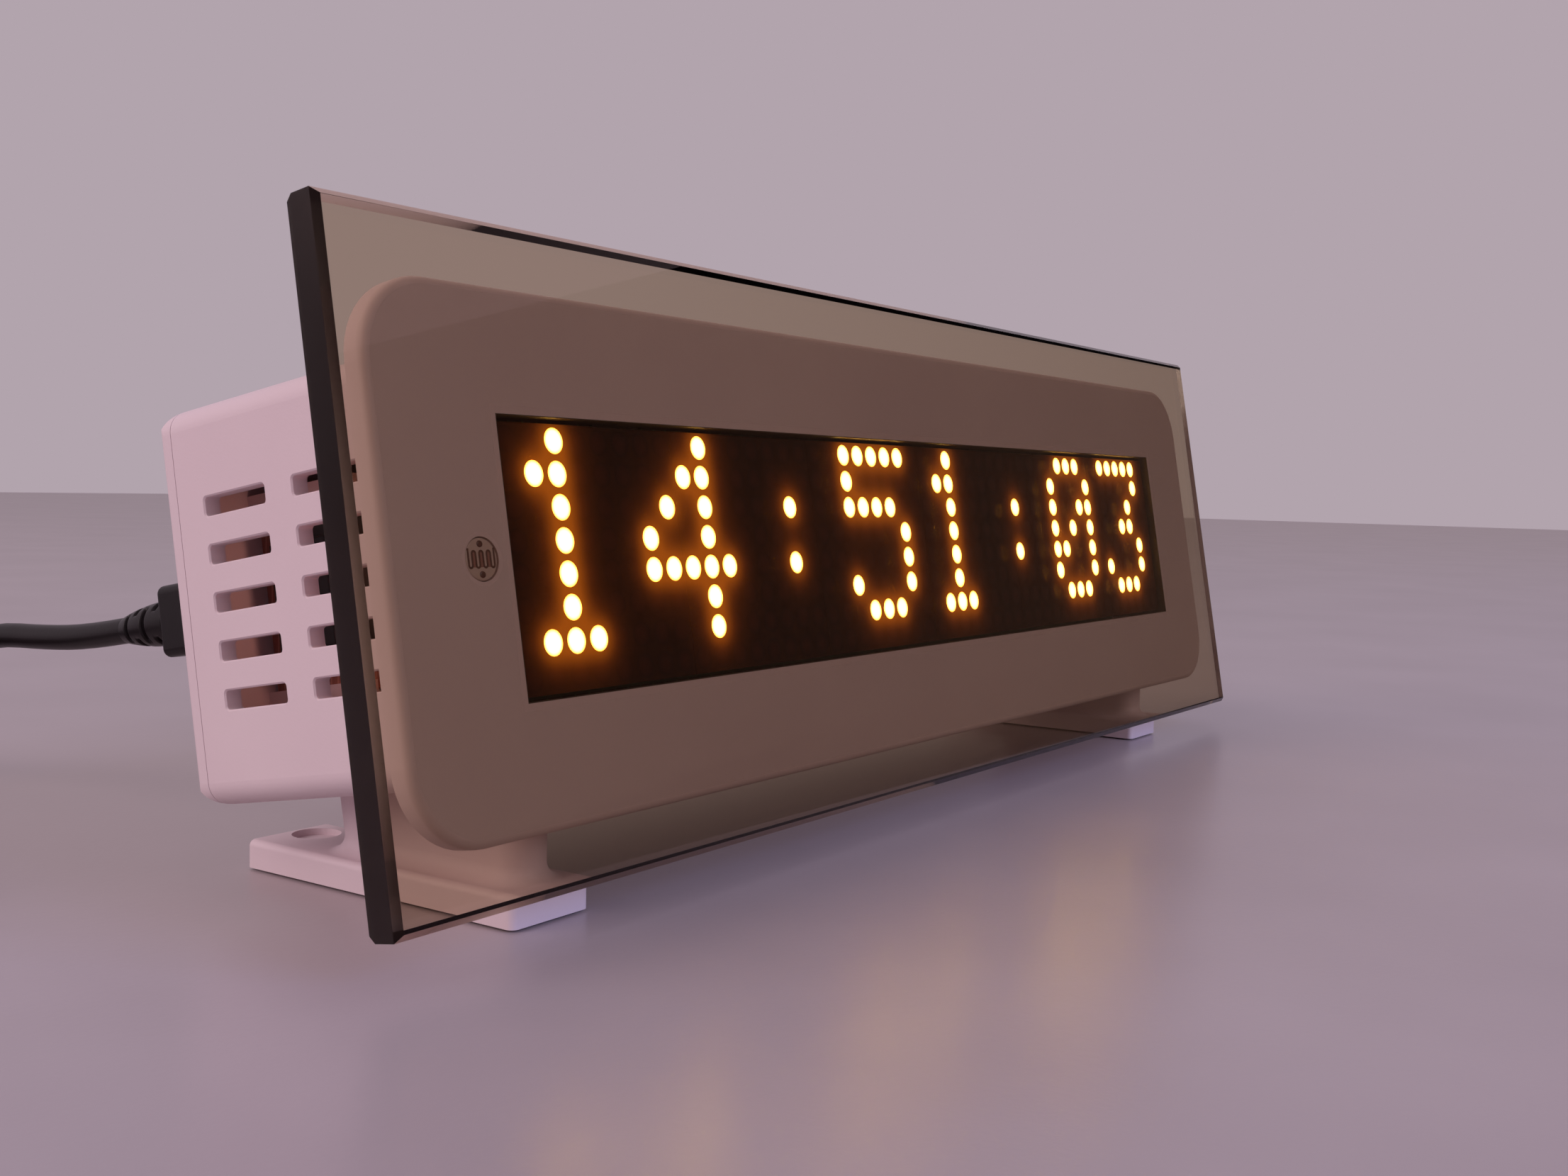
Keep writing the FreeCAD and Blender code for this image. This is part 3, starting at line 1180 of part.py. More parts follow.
def main():
    save("front_plate", lean(front_plate()))
    save("plate_bond", lean(plate_bond()))
    save("front_housing", lean(front_housing()))
    save("rear_cover", lean(rear_cover()))
    for index in range(MODULE_COUNT):
        save("led_module_%d" % (index + 1), lean(led_module(index)))
    save("lit_dots", lean_all(dots(True)))
    save("dark_dots", lean_all(dots(False)))
    save("module_sockets", lean_all(module_sockets()))
    save("display_board", lean(display_board()))
    save("driver_chips", lean_all(driver_chips()))
    save("board_capacitors", lean_all(board_capacitors()))
    save("light_sensor", lean(light_sensor()))
    save("sensor_leads", lean_all(sensor_leads()))
    save("controller_board", lean(controller_board()))
    save("processor_module", lean(processor_module()))
    save("processor_shield", lean(processor_shield()))
    save("power_socket", lean(power_socket()))
    save("cable_headers", lean_all(cable_headers()))
    save("display_cable", lean_all(display_cable()))
    save("clock_board", lean(clock_board()))
    save("cell_holder", lean(cell_holder()))
    save("coin_cell", lean(coin_cell()))
    save("clock_chip", lean(clock_chip()))
    save("button_board", lean(button_board()))
    save("button_switches", lean_all(button_switches()))
    for number, (x, z) in enumerate(button_places(), 1):
        save("switch_plunger_%d" % number, lean(switch_plunger(x, z)))
        save("set_button_%d" % number, lean(set_button(x, z)))
    save("cover_screws", lean_all(cover_screws()))
    save("display_screws", lean_all(display_screws()))
    save("board_screws", lean_all(board_screws()))
    save("foot_screws", lean_all(foot_screws()))
    save("foot_left", foot(-1))
    save("foot_right", foot(1))
    save("foot_pads", foot_pads())
    save("power_plug", lean(power_plug()))
    save("plug_shell", lean(plug_shell()))
    save("strain_relief", lean(strain_relief()))
    save("power_cord", smooth_tube(cord_points(), CORD_DIA))
    save("cord_coil", cord_coil())
    save("cord_tie", cord_tie())
    save("cord_tail", smooth_tube(tail_points(), CORD_DIA))
    save("usb_plug", usb_plug())
    save("usb_plug_shell", usb_plug_shell())
    save("usb_plug_tongue", usb_plug_tongue())
    save("usb_strain_relief", usb_strain_relief())
    turns = COIL_SIDE_TURNS * COIL_LAYERS
    print("coil of %d turns holds %.0f mm" % (turns, turns * math.pi * COIL_MIDDLE_DIA))
    print("case centre at y %.2f, z %.2f" % (CENTRE_Y, CENTRE_Z))


main()
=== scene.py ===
# %% [markdown]
# # A desk clock with a dot-matrix display
# A wide tinted plate stands in front of a white leaning case, and six square display modules
# glow behind it. The solids come from a CAD model. This script gives each of them its finish,
# and adds what a solid doesn't carry: the lead with its coil, the ribs of its strain reliefs,
# the light sensor's track and the glow round the digits.

# %% Load the clock's solids
import math

import bmesh
import bpy
import numpy as np
from mathutils import Matrix, Vector


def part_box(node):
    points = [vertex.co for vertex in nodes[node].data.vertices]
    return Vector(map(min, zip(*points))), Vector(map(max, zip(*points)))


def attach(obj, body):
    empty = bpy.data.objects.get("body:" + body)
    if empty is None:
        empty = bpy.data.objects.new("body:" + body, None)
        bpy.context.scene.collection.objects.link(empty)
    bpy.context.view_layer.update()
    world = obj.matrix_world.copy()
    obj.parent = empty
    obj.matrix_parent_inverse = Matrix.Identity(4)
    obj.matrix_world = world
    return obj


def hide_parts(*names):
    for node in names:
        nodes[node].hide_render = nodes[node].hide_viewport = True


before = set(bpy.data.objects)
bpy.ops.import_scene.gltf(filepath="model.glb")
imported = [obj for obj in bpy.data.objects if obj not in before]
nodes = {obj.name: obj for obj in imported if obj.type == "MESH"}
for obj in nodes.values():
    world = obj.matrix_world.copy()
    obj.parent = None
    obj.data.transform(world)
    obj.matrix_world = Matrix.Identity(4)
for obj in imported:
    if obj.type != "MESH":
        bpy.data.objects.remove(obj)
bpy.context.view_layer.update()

# %% [markdown]
# ## Two frames
# The case leans back by ten degrees. A place on the case is easy to say in the case's own frame,
# with its origin in the middle of the display's face, x to the right, y back through the case
# and z up along the display. One function carries such places, in millimetres, to the frame of
# the whole clock, in metres. The display's middle is measured on a module's box.

# %% From the case's frame to the clock's frame
MM = 0.001
LEAN = math.radians(10.0)
DOT_PITCH = 4.0
module_low, module_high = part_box("led_module_1")
HALF_MODULE = (module_high.x - module_low.x) / 2
DISPLAY_MIDDLE = Vector((
    0.0,
    module_low.y + HALF_MODULE * math.sin(LEAN),
    module_high.z - HALF_MODULE * math.cos(LEAN)))
CASE_TURN = Matrix.Rotation(-LEAN, 3, "X")


def lean(points):
    """Case-frame millimetres to clock-frame metres: the rows are turned by the lean about x,
    then moved to the display's middle."""
    rows = np.asarray(points, float)
    return rows @ np.array(CASE_TURN).T * MM + np.array(DISPLAY_MIDDLE)


print("display middle in mm:", [round(v * 1000, 2) for v in DISPLAY_MIDDLE])

# %% [markdown]
# ## The camera
# A camera close to a small object shows strong perspective, so its place matters as much as its
# direction. It stands low in front of the clock's left end and looks along the plate. The
# direction is given as azimuth and elevation, and a small roll tips the horizon.

# %% Camera
CAMERA_PLACE = Vector((-0.22670, -0.14826, 0.05168))
VIEW_AZIMUTH = math.radians(55.586)
VIEW_ELEVATION = math.radians(-3.742)
VIEW_ROLL = math.radians(1.287)
LENS_MM = 36.334

view_way = Vector((
    math.sin(VIEW_AZIMUTH) * math.cos(VIEW_ELEVATION),
    math.cos(VIEW_AZIMUTH) * math.cos(VIEW_ELEVATION),
    math.sin(VIEW_ELEVATION)))
level_right = view_way.cross(Vector((0, 0, 1))).normalized()
level_up = level_right.cross(view_way)
right = level_right * math.cos(VIEW_ROLL) + level_up * math.sin(VIEW_ROLL)
up = right.cross(view_way)

camera = bpy.data.objects.new("camera", bpy.data.cameras.new("camera"))
camera.data.lens = LENS_MM
camera.data.sensor_fit = "HORIZONTAL"
camera.data.clip_start = 0.01
camera.matrix_world = Matrix.Translation(CAMERA_PLACE) @ Matrix(
    (right, up, -view_way)).transposed().to_4x4()
bpy.context.scene.collection.objects.link(camera)
bpy.context.scene.camera = camera
print("camera to display middle in mm:", round((DISPLAY_MIDDLE - CAMERA_PLACE).length * 1000))

# %% [markdown]
# ## The lead
# A lead is a fixed length of something flexible. It leaves the plug level, droops to the table
# behind the clock and ends in a coil, because that is how a spare metre is put away. A chain of
# straight runs looks like bent wire, so the line is a NURBS curve: the listed points pull
# it, and it never quite touches them. The coil's turns are more points of the same curve.
# Each point's radius is the lead's own, so the curve's box is as large as the lead and no larger.

# %% The lead's points
CORD_DIA = 3.8
PORT_X = -92.0
RELIEF_Y0 = 66.0
RELIEF_Y1 = 78.0
COIL_MIDDLE = np.array([-121.5, 141.0])
TIE_THICK = 0.6
LOW_Z = TIE_THICK + CORD_DIA / 2
HIGH_Z = LOW_Z + CORD_DIA
LANES = np.array([24.8, 21.0, 17.2])
USB_X = -150.3
USB_Z = 3.9

relief_end, past_relief = lean([[PORT_X, RELIEF_Y1, 0], [PORT_X, RELIEF_Y1 + 10, 0]]) / MM
way_to_coil = np.array([
    relief_end,
    past_relief,
    [-92.2, 79.5, 25.9],
    [-92.3, 94.5, 25.5],
    [-92.9, 106.0, 21.4],
    [-94.0, 116.5, 14.4],
    [-95.4, 128.0, 5.8],
    [COIL_MIDDLE[0] + LANES[0], COIL_MIDDLE[1], LOW_Z]])
way_to_far_plug = np.array([
    [COIL_MIDDLE[0] - LANES[0], COIL_MIDDLE[1], HIGH_Z],
    [-146.9, 130.0, HIGH_Z - 0.4],
    [USB_X, 116.0, USB_Z],
    [USB_X, 103.0, USB_Z]])

# %% [markdown]
# The coil is three turns wide and two turns high. Each turn keeps its radius for most of the way
# round, then crosses to the next one. The lower layer goes inwards, the lead climbs once, and
# the upper layer comes back out, so that no two turns are ever nearer than one diameter.

# %% The coil's turns
STEP_DEG = 15.0
RAMP_DEG = 50.0


def stairs(angle, ramp_starts, levels):
    """A value that keeps each level and changes to the next by a smooth ramp: each ramp adds its
    rise times t * t * (3 - 2 t), where t runs from 0 to 1 over the ramp's angle."""
    value = np.full_like(angle, levels[0])
    for start, before, after in zip(ramp_starts, levels, levels[1:]):
        t = np.clip((angle - start) / RAMP_DEG, 0, 1)
        value += (after - before) * t * t * (3 - 2 * t)
    return value


def coil_points():
    """Points round the coil: a circle whose radius and height follow their stairs. The points
    stand outside the circle by one over the cosine of half a step, so the curve lies on it."""
    angle = np.arange(STEP_DEG, 5.5 * 360.0, STEP_DEG)
    radius = stairs(angle, [310, 670, 1290, 1650], [*LANES, LANES[1], LANES[0]])
    height = stairs(angle, [980], [LOW_Z, HIGH_Z])
    reach = radius / math.cos(math.radians(STEP_DEG / 2))
    turn = np.radians(angle)
    return np.column_stack([
        COIL_MIDDLE[0] + reach * np.cos(turn), COIL_MIDDLE[1] + reach * np.sin(turn), height])


lead_points = np.vstack([way_to_coil, coil_points(), way_to_far_plug]) * MM
curve = bpy.data.curves.new("power_lead", "CURVE")
curve.dimensions = "3D"
spline = curve.splines.new("NURBS")
spline.points.add(len(lead_points) - 1)
spline.points.foreach_set("co", np.column_stack([lead_points, np.ones(len(lead_points))]).ravel())
spline.order_u = 3
spline.use_endpoint_u = True
spline.points.foreach_set("radius", np.full(len(lead_points), CORD_DIA / 2 * MM))
spline.resolution_u = 4
curve.bevel_depth = 1.0
curve.bevel_resolution = 6
curve.use_fill_caps = True
power_lead = bpy.data.objects.new("power_lead", curve)
bpy.context.scene.collection.objects.link(power_lead)
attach(power_lead, "case")
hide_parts("power_cord", "cord_coil", "cord_tail")

# %% [markdown]
# ## Surfaces from formulas
# A surface that a formula describes is a grid of points, and its faces join each point to its
# neighbours. One function makes such a mesh and lets it ride on the case. Another reads a solid's
# own points, so that a new piece can follow them.

# %% Surfaces


def case_places(mesh):
    """A mesh's vertices as rows of case-frame millimetres: the lean is taken back."""
    flat = np.empty(3 * len(mesh.vertices), np.float32)
    mesh.vertices.foreach_get("co", flat)
    return (flat.reshape(-1, 3) - np.array(DISPLAY_MIDDLE)) @ np.array(CASE_TURN) / MM


def skin(name, grid, material=None, round_columns=False):
    """Mesh from a grid of points, rows by columns by three, in metres. Each cell of the grid is
    a face. Round columns join the last to the first, and such a tube is closed by a cap at each
    end."""
    rows, columns = grid.shape[:2]
    index = np.arange(rows * columns).reshape(rows, columns)
    if round_columns:
        index = np.hstack([index, index[:, :1]])
    quads = np.stack([index[:-1, :-1], index[:-1, 1:], index[1:, 1:], index[1:, :-1]], axis=-1)
    faces = quads.reshape(-1, 4).tolist()
    if round_columns:
        faces += [index[0, :-1][::-1].tolist(), index[-1, :-1].tolist()]
    mesh = bpy.data.meshes.new(name)
    mesh.from_pydata(grid.reshape(-1, 3).tolist(), [], faces)
    if material:
        mesh.materials.append(material)
    piece = bpy.data.objects.new(name, mesh)
    bpy.context.scene.collection.objects.link(piece)
    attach(piece, "case")
    print(name, "faces:", len(faces))
    return piece


def smooth(piece):
    """Shades a piece's faces smoothly."""
    piece.data.polygons.foreach_set("use_smooth", np.ones(len(piece.data.polygons), bool))


# %% [markdown]
# Each end of the lead has a moulded strain relief with rows of slots that let it bend. Its
# surface is one formula: the distance from the axis follows a bulged outline, and each slot
# takes a little away where the point lies in its ring and in its sector.

# %% Strain reliefs
POINTS_AROUND = 96
POINTS_ALONG = 110
HEAD_DIA, MIDDLE_DIA, END_DIA = 6.4, 6.0, 4.0
SLOT_RINGS = 4
FIRST_RING = 0.9
SLOT_DEEP = 0.8
SLOT_SHARE = 0.4
RING_EDGE = 18.0
SECTOR_EDGE = 24.0
SECTOR_FROM = 0.42
USB_RELIEF_Y0 = 95.0
USB_RELIEF_LENGTH = 8.0


def relief_grid(length):
    """Strain relief along +y from y = 0. The radius is a quadratic through the head's, the
    middle's and the end's. A slot ring is a smooth step pair along y, and it opens above and
    below in one ring and at the sides in the next, by the square of the angle's sine or cosine.
    A smooth step is one over one plus e to the power of the way past it times its edge."""
    y = np.linspace(0, length, POINTS_ALONG)[:, None]
    angle = np.linspace(0, 2 * np.pi, POINTS_AROUND, endpoint=False)[None, :]
    t = y / length
    radius = 0.5 * (HEAD_DIA * (1 - t) * (1 - 2 * t) + MIDDLE_DIA * 4 * t * (1 - t)
                    + END_DIA * t * (2 * t - 1)) * np.ones_like(angle)
    pitch = length / (SLOT_RINGS + 1)
    for i in range(SLOT_RINGS):
        off = np.abs(y - pitch * (i + FIRST_RING)) / (pitch * SLOT_SHARE)
        ring = 1 / (1 + np.exp((off - 0.5) * RING_EDGE))
        sector = np.cos(angle) ** 2 if i % 2 else np.sin(angle) ** 2
        open_here = 1 / (1 + np.exp((SECTOR_FROM - sector) * SECTOR_EDGE))
        radius = radius - SLOT_DEEP * ring * open_here
    return np.stack([radius * np.cos(angle), y + 0 * angle, radius * np.sin(angle)], axis=-1)


plug_relief = skin(
    "plug_relief", lean(relief_grid(RELIEF_Y1 - RELIEF_Y0) + [PORT_X, RELIEF_Y0, 0]),
    round_columns=True)
usb_relief = skin(
    "usb_plug_relief", (relief_grid(USB_RELIEF_LENGTH) + [USB_X, USB_RELIEF_Y0, USB_Z]) * MM,
    round_columns=True)
for relief, solid in ((plug_relief, "strain_relief"), (usb_relief, "usb_strain_relief")):
    smooth(relief)
    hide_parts(solid)

# %% [markdown]
# ## Table, background and light
# The clock stands on a plain pale table in soft studio light, in a plain pale room. A polished
# plate shows whatever stands opposite, so a product photographer puts a black card there, just
# outside the picture, and the plate mirrors that over the digits. Here rays from the camera and
# from the lamps pass the card by, and it fades for rays that start near it, so the table shows
# neither its shadow nor the line where it stands. One big soft lamp at the left models the case
# and a cooler one fills the front.

# %% Colours and nodes


def linear(hex_colour):
    """sRGB hex to linear red, green, blue and alpha: each channel over 255, then c / 12.92 below
    0.04045 and ((c + 0.055) / 1.055) to the power 2.4 above it."""
    channels = [int(hex_colour[i:i + 2], 16) / 255 for i in (1, 3, 5)]
    return tuple(
        c / 12.92 if c <= 0.04045 else ((c + 0.055) / 1.055) ** 2.4 for c in channels) + (1.0,)


def add(tree, kind, inputs=None, stops=None, **settings):
    """Adds one node. inputs maps a socket's name or number to a value, or to the output that
    feeds it. stops are a ramp's pairs of position and colour. settings are the node's own."""
    node = tree.nodes.new("ShaderNode" + kind)
    for name, value in settings.items():
        setattr(node, name, value)
    for socket, value in (inputs or {}).items():
        if isinstance(value, bpy.types.NodeSocket):
            tree.links.new(value, node.inputs[socket])
        else:
            node.inputs[socket].default_value = value
    if stops:
        while len(node.color_ramp.elements) < len(stops):
            node.color_ramp.elements.new(0.5)
        for element, (position, colour) in zip(node.color_ramp.elements, stops):
            element.position = position
            element.color = colour
    return node


def grey(value):
    """A linear grey for a ramp that carries a number."""
    return (value, value, value, 1.0)


def new_finish(name, **inputs):
    """Starts a material: sets its main shader's sockets, whose names are written with _ for a
    space, and returns the material, its tree, the shader and the object's coordinates."""
    material = bpy.data.materials.new(name)
    material.use_nodes = True
    tree = material.node_tree
    shader = tree.nodes["Principled BSDF"]
    for socket, value in inputs.items():
        shader.inputs[socket.replace("_", " ")].default_value = value
    where = add(tree, "TexCoord").outputs["Object"]
    return material, tree, shader, where


def on_case(tree, where, unit_mm=1.0):
    """Place in the case's own frame, counted in units: the lean is undone about the middle of
    the display's face. Returns the vector."""
    return add(tree, "Mapping", {
        "Vector": where, "Location": DISPLAY_MIDDLE, "Rotation": (-LEAN, 0, 0),
        "Scale": (unit_mm * MM,) * 3}, vector_type="TEXTURE").outputs["Vector"]


def within(tree, place, middle, half):
    """1 inside a box, else 0: the place less the box's middle, each part's size compared with
    the box's half size, and the three answers multiplied."""
    off = add(tree, "VectorMath", {0: place, 1: middle}, operation="SUBTRACT")
    size = add(tree, "VectorMath", {0: off.outputs["Vector"]}, operation="ABSOLUTE")
    parts = add(tree, "SeparateXYZ", {0: size.outputs["Vector"]}).outputs
    answer = 1.0
    for part, limit in zip(parts, half):
        below = add(tree, "Math", {0: part, 1: limit}, operation="LESS_THAN")
        answer = add(tree, "Math", {0: answer, 1: below.outputs["Value"]},
                     operation="MULTIPLY").outputs["Value"]
    return answer


def grain(tree, shader, where, grain_mm, height_mm, detail=2.0):
    """Fine surface texture: noise whose blotches are grain_mm across, raised by height_mm."""
    noise = add(tree, "TexNoise", {"Vector": where, "Scale": 1 / (grain_mm * MM), "Detail": detail})
    bump = add(tree, "Bump", {"Height": noise.outputs["Fac"], "Distance": height_mm * MM})
    tree.links.new(bump.outputs["Normal"], shader.inputs["Normal"])
    return noise.outputs["Fac"]


def mottle(tree, shader, where, blotch_mm, colours, socket="Base Color"):
    """Uneven colour, or another socket's value: a ramp over noise with blotches of that size."""
    noise = add(tree, "TexNoise", {"Vector": where, "Scale": 1 / (blotch_mm * MM), "Detail": 3.0})
    stops = [(0.3 + 0.4 * i / (len(colours) - 1), c) for i, c in enumerate(colours)]
    ramp = add(tree, "ValToRGB", {"Fac": noise.outputs["Fac"]}, stops=stops)
    tree.links.new(ramp.outputs["Color"], shader.inputs[socket])
    return noise.outputs["Fac"]


# %% Table
TABLE_HALF = 3.0
table_mesh = bpy.data.meshes.new("table")
corners = np.array([[-1, -1, 0], [1, -1, 0], [1, 1, 0], [-1, 1, 0]]) * TABLE_HALF
table_mesh.from_pydata(corners.tolist(), [], [[0, 1, 2, 3]])
table = bpy.data.objects.new("table", table_mesh)
bpy.context.scene.collection.objects.link(table)
coated, tree, shader, where = new_finish(
    "painted_table_top", Roughness=0.3, IOR=1.5)
mottle(tree, shader, where, 60.0, [linear("#AA9EA0"), linear("#B2A6A8")])
grain(tree, shader, where, 1.2, 0.02)
table_mesh.materials.append(coated)

# %% World, card and lamps
CARD_PLACE = np.array([0.8, -0.6])
CARD_HALF_WIDE = 0.7
CARD_HEIGHTS = (0.0, 0.45)
CARD_FADES_FROM, CARD_FADES_TO = 0.85, 0.4
world = bpy.data.worlds.new("studio")
world.use_nodes = True
bpy.context.scene.world = world
world.node_tree.nodes["Background"].inputs["Color"].default_value = linear("#B2A4AD")

card_mesh = bpy.data.meshes.new("black_card")
along_card = np.array([-CARD_PLACE[1], CARD_PLACE[0]]) / np.hypot(*CARD_PLACE) * CARD_HALF_WIDE
card_ends = [CARD_PLACE - along_card, CARD_PLACE + along_card]
card_corners = [[*end, height] for height in CARD_HEIGHTS for end in card_ends]
card_mesh.from_pydata(card_corners, [], [[0, 1, 3, 2]])
card = bpy.data.objects.new("black_card", card_mesh)
bpy.context.scene.collection.objects.link(card)
for rays in ("camera", "transmission", "shadow"):
    setattr(card, "visible_" + rays, False)
matt_card, tree, shader, where = new_finish("matt_black_card", Roughness=0.9)
mottle(tree, shader, where, 20.0, [linear("#1C191B"), linear("#201D1F")])
there = add(tree, "MapRange", {
    "Value": add(tree, "LightPath").outputs["Ray Length"], "From Min": CARD_FADES_TO,
    "From Max": CARD_FADES_FROM}, interpolation_type="SMOOTHSTEP")
clear = add(tree, "BsdfTransparent")
fading = add(tree, "MixShader", {
    0: there.outputs["Result"], 1: clear.outputs["BSDF"], 2: shader.outputs["BSDF"]})
tree.links.new(fading.outputs["Shader"], tree.nodes["Material Output"].inputs["Surface"])
card_mesh.materials.append(matt_card)


def soft_lamp(name, place, aim, size, watts, colour):
    """Square area lamp at a place, turned to aim."""
    lamp = bpy.data.lights.new(name, "AREA")
    lamp.size = size
    lamp.energy = watts
    lamp.color = linear(colour)[:3]
    body = bpy.data.objects.new(name, lamp)
    body.location = place
    body.rotation_euler = (Vector(aim) - Vector(place)).to_track_quat("-Z", "Y").to_euler()
    bpy.context.scene.collection.objects.link(body)


soft_lamp("side_light", (-1.2, 0.55, 0.8), (0, 0, 0.04), 1.2, 10.6, "#FFE9EC")
soft_lamp("front_light", (0.1, -1.4, 0.75), (0, 0, 0.04), 0.8, 12.0, "#BCC9FF")
bpy.context.scene.view_settings.view_transform = "Standard"

# %% [markdown]
# ## The white case
# Moulded plastic with a fine matt texture. What gives it away is its soft sheen and a slight
# unevenness of colour, so the finish has both, and a bump of a fraction of a millimetre. The
# narrow edge of the display's window gets a painted shade, a dark brown, or it would mirror the
# lit dots.

# %% White plastic
WHITE_IOR = 1.53
# Half size of the box round the window's narrow edge that gets painted shade, in case-frame
# millimetres.
PAINTED_SHADE_HALF = (96.6, 2.0, 16.6)


def moulded_white(name, edge_shade_painted=False):
    """White plastic finish. With painted edge shade, the place inside the window's edge gets a dark
    brown painted shade.
    """
    material, tree, shader, where = new_finish(name, Roughness=0.55, IOR=WHITE_IOR)
    mottle(tree, shader, where, 45.0, [linear("#DDCACF"), linear("#E4D2D6")])
    grain(tree, shader, where, 0.35, 0.012)
    if edge_shade_painted:
        # Painted shade: the narrow edge of the window is coloured dark brown, as if it lay in
        # shade.
        inside = within(tree, on_case(tree, where), (0, 0, 0), PAINTED_SHADE_HALF)
        plain = shader.inputs["Base Color"].links[0].from_socket
        edge_shade_mix = add(tree, "Mix", {0: inside, 6: plain, 7: linear("#3A2A20")}, data_type="RGBA")
        tree.links.new(edge_shade_mix.outputs[2], shader.inputs["Base Color"])
    return material


def dress(material, *names):
    """Gives CAD nodes a material: their slots are emptied and filled with it."""
    for name in names:
        nodes[name].data.materials.clear()
        nodes[name].data.materials.append(material)
    print(material.name, "on", len(names), "nodes")


buttons = ["set_button_%d" % i for i in (1, 2, 3)]
plungers = ["switch_plunger_%d" % i for i in (1, 2, 3)]
dress(moulded_white("white_ABS_with_painted_shade_on_window_edge", edge_shade_painted=True), "front_housing")
dress(moulded_white("white_ABS_fine_moulded_texture"),
      "rear_cover", "foot_left", "foot_right", *buttons)

# %% [markdown]
# A little of the display's light strays behind the modules and warms the inside of the case,
# which shows through the vents. One faint small lamp inside stands for it. It is linked to what
# lies behind the vents alone, or it would also brighten the vents' own thin walls beside it.

# %% Stray light inside the case
STRAY_PLACE = (-99.5, 20.0, 0.0)
stray = bpy.data.lights.new("stray_light", "POINT")
stray.shadow_soft_size = 2.0 * MM
stray.energy = 0.004
stray.color = linear("#FFB4A0")[:3]
stray_body = bpy.data.objects.new("stray_light", stray)
stray_body.location = lean([STRAY_PLACE])[0]
stray_body.visible_camera = False
behind_vents = bpy.data.collections.new("behind_vents")
for name in ("rear_cover", "controller_board", "processor_module"):
    behind_vents.objects.link(nodes[name])
stray_body.light_linking.receiver_collection = behind_vents
bpy.context.scene.collection.objects.link(stray_body)

# %% [markdown]
# ## The tinted plate
# Bronze-tinted cast acrylic, sawn and polished. Its face is light brown but its edge is almost
# black, because light crosses four millimetres one way and a quarter of a metre the other. A
# coloured surface can't do that. A volume that absorbs light can: each millimetre takes its
# share of red, green and blue. Light that goes on to the case must come through without the
# noise of caustics, so for shadow and diffuse rays the surface is plainly see-through. The faces
# are as cast, and the sawn ends are polished by hand, so they are a little hazier.

# %% Bronze acrylic
ABSORBED_PER_METRE = (105.0, 142.0, 200.0)
ACRYLIC_IOR = 1.49
CAST_HALF = (120.2, 100.0, 100.0)
SAWN_ROUGHNESS = 0.16
density = max(ABSORBED_PER_METRE) + 2.0
bronze_acrylic, tree, shader, where = new_finish(
    "bronze_cast_acrylic_polished", Base_Color=(1, 1, 1, 1), Transmission_Weight=1.0,
    Roughness=0.01, IOR=ACRYLIC_IOR, Specular_Tint=linear("#C8A49C"))
mottle(tree, shader, where, 18.0, [grey(0.006), grey(0.02)], "Roughness")
cast_face = within(tree, on_case(tree, where), (0, 0, 0), CAST_HALF)
as_cast = shader.inputs["Roughness"].links[0].from_socket
haze = add(tree, "Mix", {0: cast_face, 6: grey(SAWN_ROUGHNESS), 7: as_cast}, data_type="RGBA")
tree.links.new(haze.outputs[2], shader.inputs["Roughness"])
clear = add(tree, "BsdfTransparent")
path = add(tree, "LightPath")
passing = add(tree, "Math", {
    0: path.outputs["Is Shadow Ray"], 1: path.outputs["Is Diffuse Ray"]}, operation="MAXIMUM")
mixed = add(tree, "MixShader", {
    0: passing.outputs["Value"], 1: shader.outputs["BSDF"], 2: clear.outputs["BSDF"]})
inside = add(tree, "VolumeAbsorption", {
    "Color": tuple(1 - a / density for a in ABSORBED_PER_METRE) + (1.0,), "Density": density})
output = tree.nodes["Material Output"]
tree.links.new(mixed.outputs["Shader"], output.inputs["Surface"])
tree.links.new(inside.outputs["Volume"], output.inputs["Volume"])
dress(bronze_acrylic, "front_plate")

# %% [markdown]
# A clear adhesive sheet fills the gap between plate and case. As a solid it touches both, and
# two faces in one plane confuse a ray that has to cross them in order. The sheet here is a copy
# of the solid that is drawn in by a few hundredths of a millimetre in front and behind.

# %% Adhesive sheet
SHEET_SHARE = 0.5
clear_adhesive, tree, shader, where = new_finish(
    "clear_acrylic_adhesive_sheet", Base_Color=linear("#F4F2EE"), Roughness=0.3, Alpha=0.02)
mottle(tree, shader, where, 6.0, [grey(0.25), grey(0.4)], "Roughness")
sheet_mesh = nodes["plate_bond"].data.copy()
sheet_mesh.name = "adhesive_sheet"
seamless = bmesh.new()
seamless.from_mesh(sheet_mesh)
bmesh.ops.remove_doubles(seamless, verts=seamless.verts, dist=1e-6)
seamless.to_mesh(sheet_mesh)
seamless.free()
sheet_places = case_places(sheet_mesh)
depth = sheet_places[:, 1]
sheet_middle = (depth.min() + depth.max()) / 2
sheet_places[:, 1] = sheet_middle + (depth - sheet_middle) * SHEET_SHARE
sheet_mesh.vertices.foreach_set("co", lean(sheet_places).astype(np.float32).ravel())
sheet_mesh.update()
adhesive_sheet = bpy.data.objects.new("adhesive_sheet", sheet_mesh)
bpy.context.scene.collection.objects.link(adhesive_sheet)
sheet_mesh.materials.clear()
sheet_mesh.materials.append(clear_adhesive)
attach(adhesive_sheet, "case")
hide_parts("plate_bond")
print("adhesive sheet, thickness in mm:", round(float(np.ptp(sheet_places[:, 1])), 3))

# %% [markdown]
# ## The display
# Each dot is a small lens. A lit one is white-hot in the middle and amber at its rim. The dots
# sit on a square grid, so the pattern needs no picture: the place on the display is divided by
# the pitch, the whole part is dropped, and what is left says how far the dot's middle is.

# %% Dots
LIT_STRENGTH = 15.0


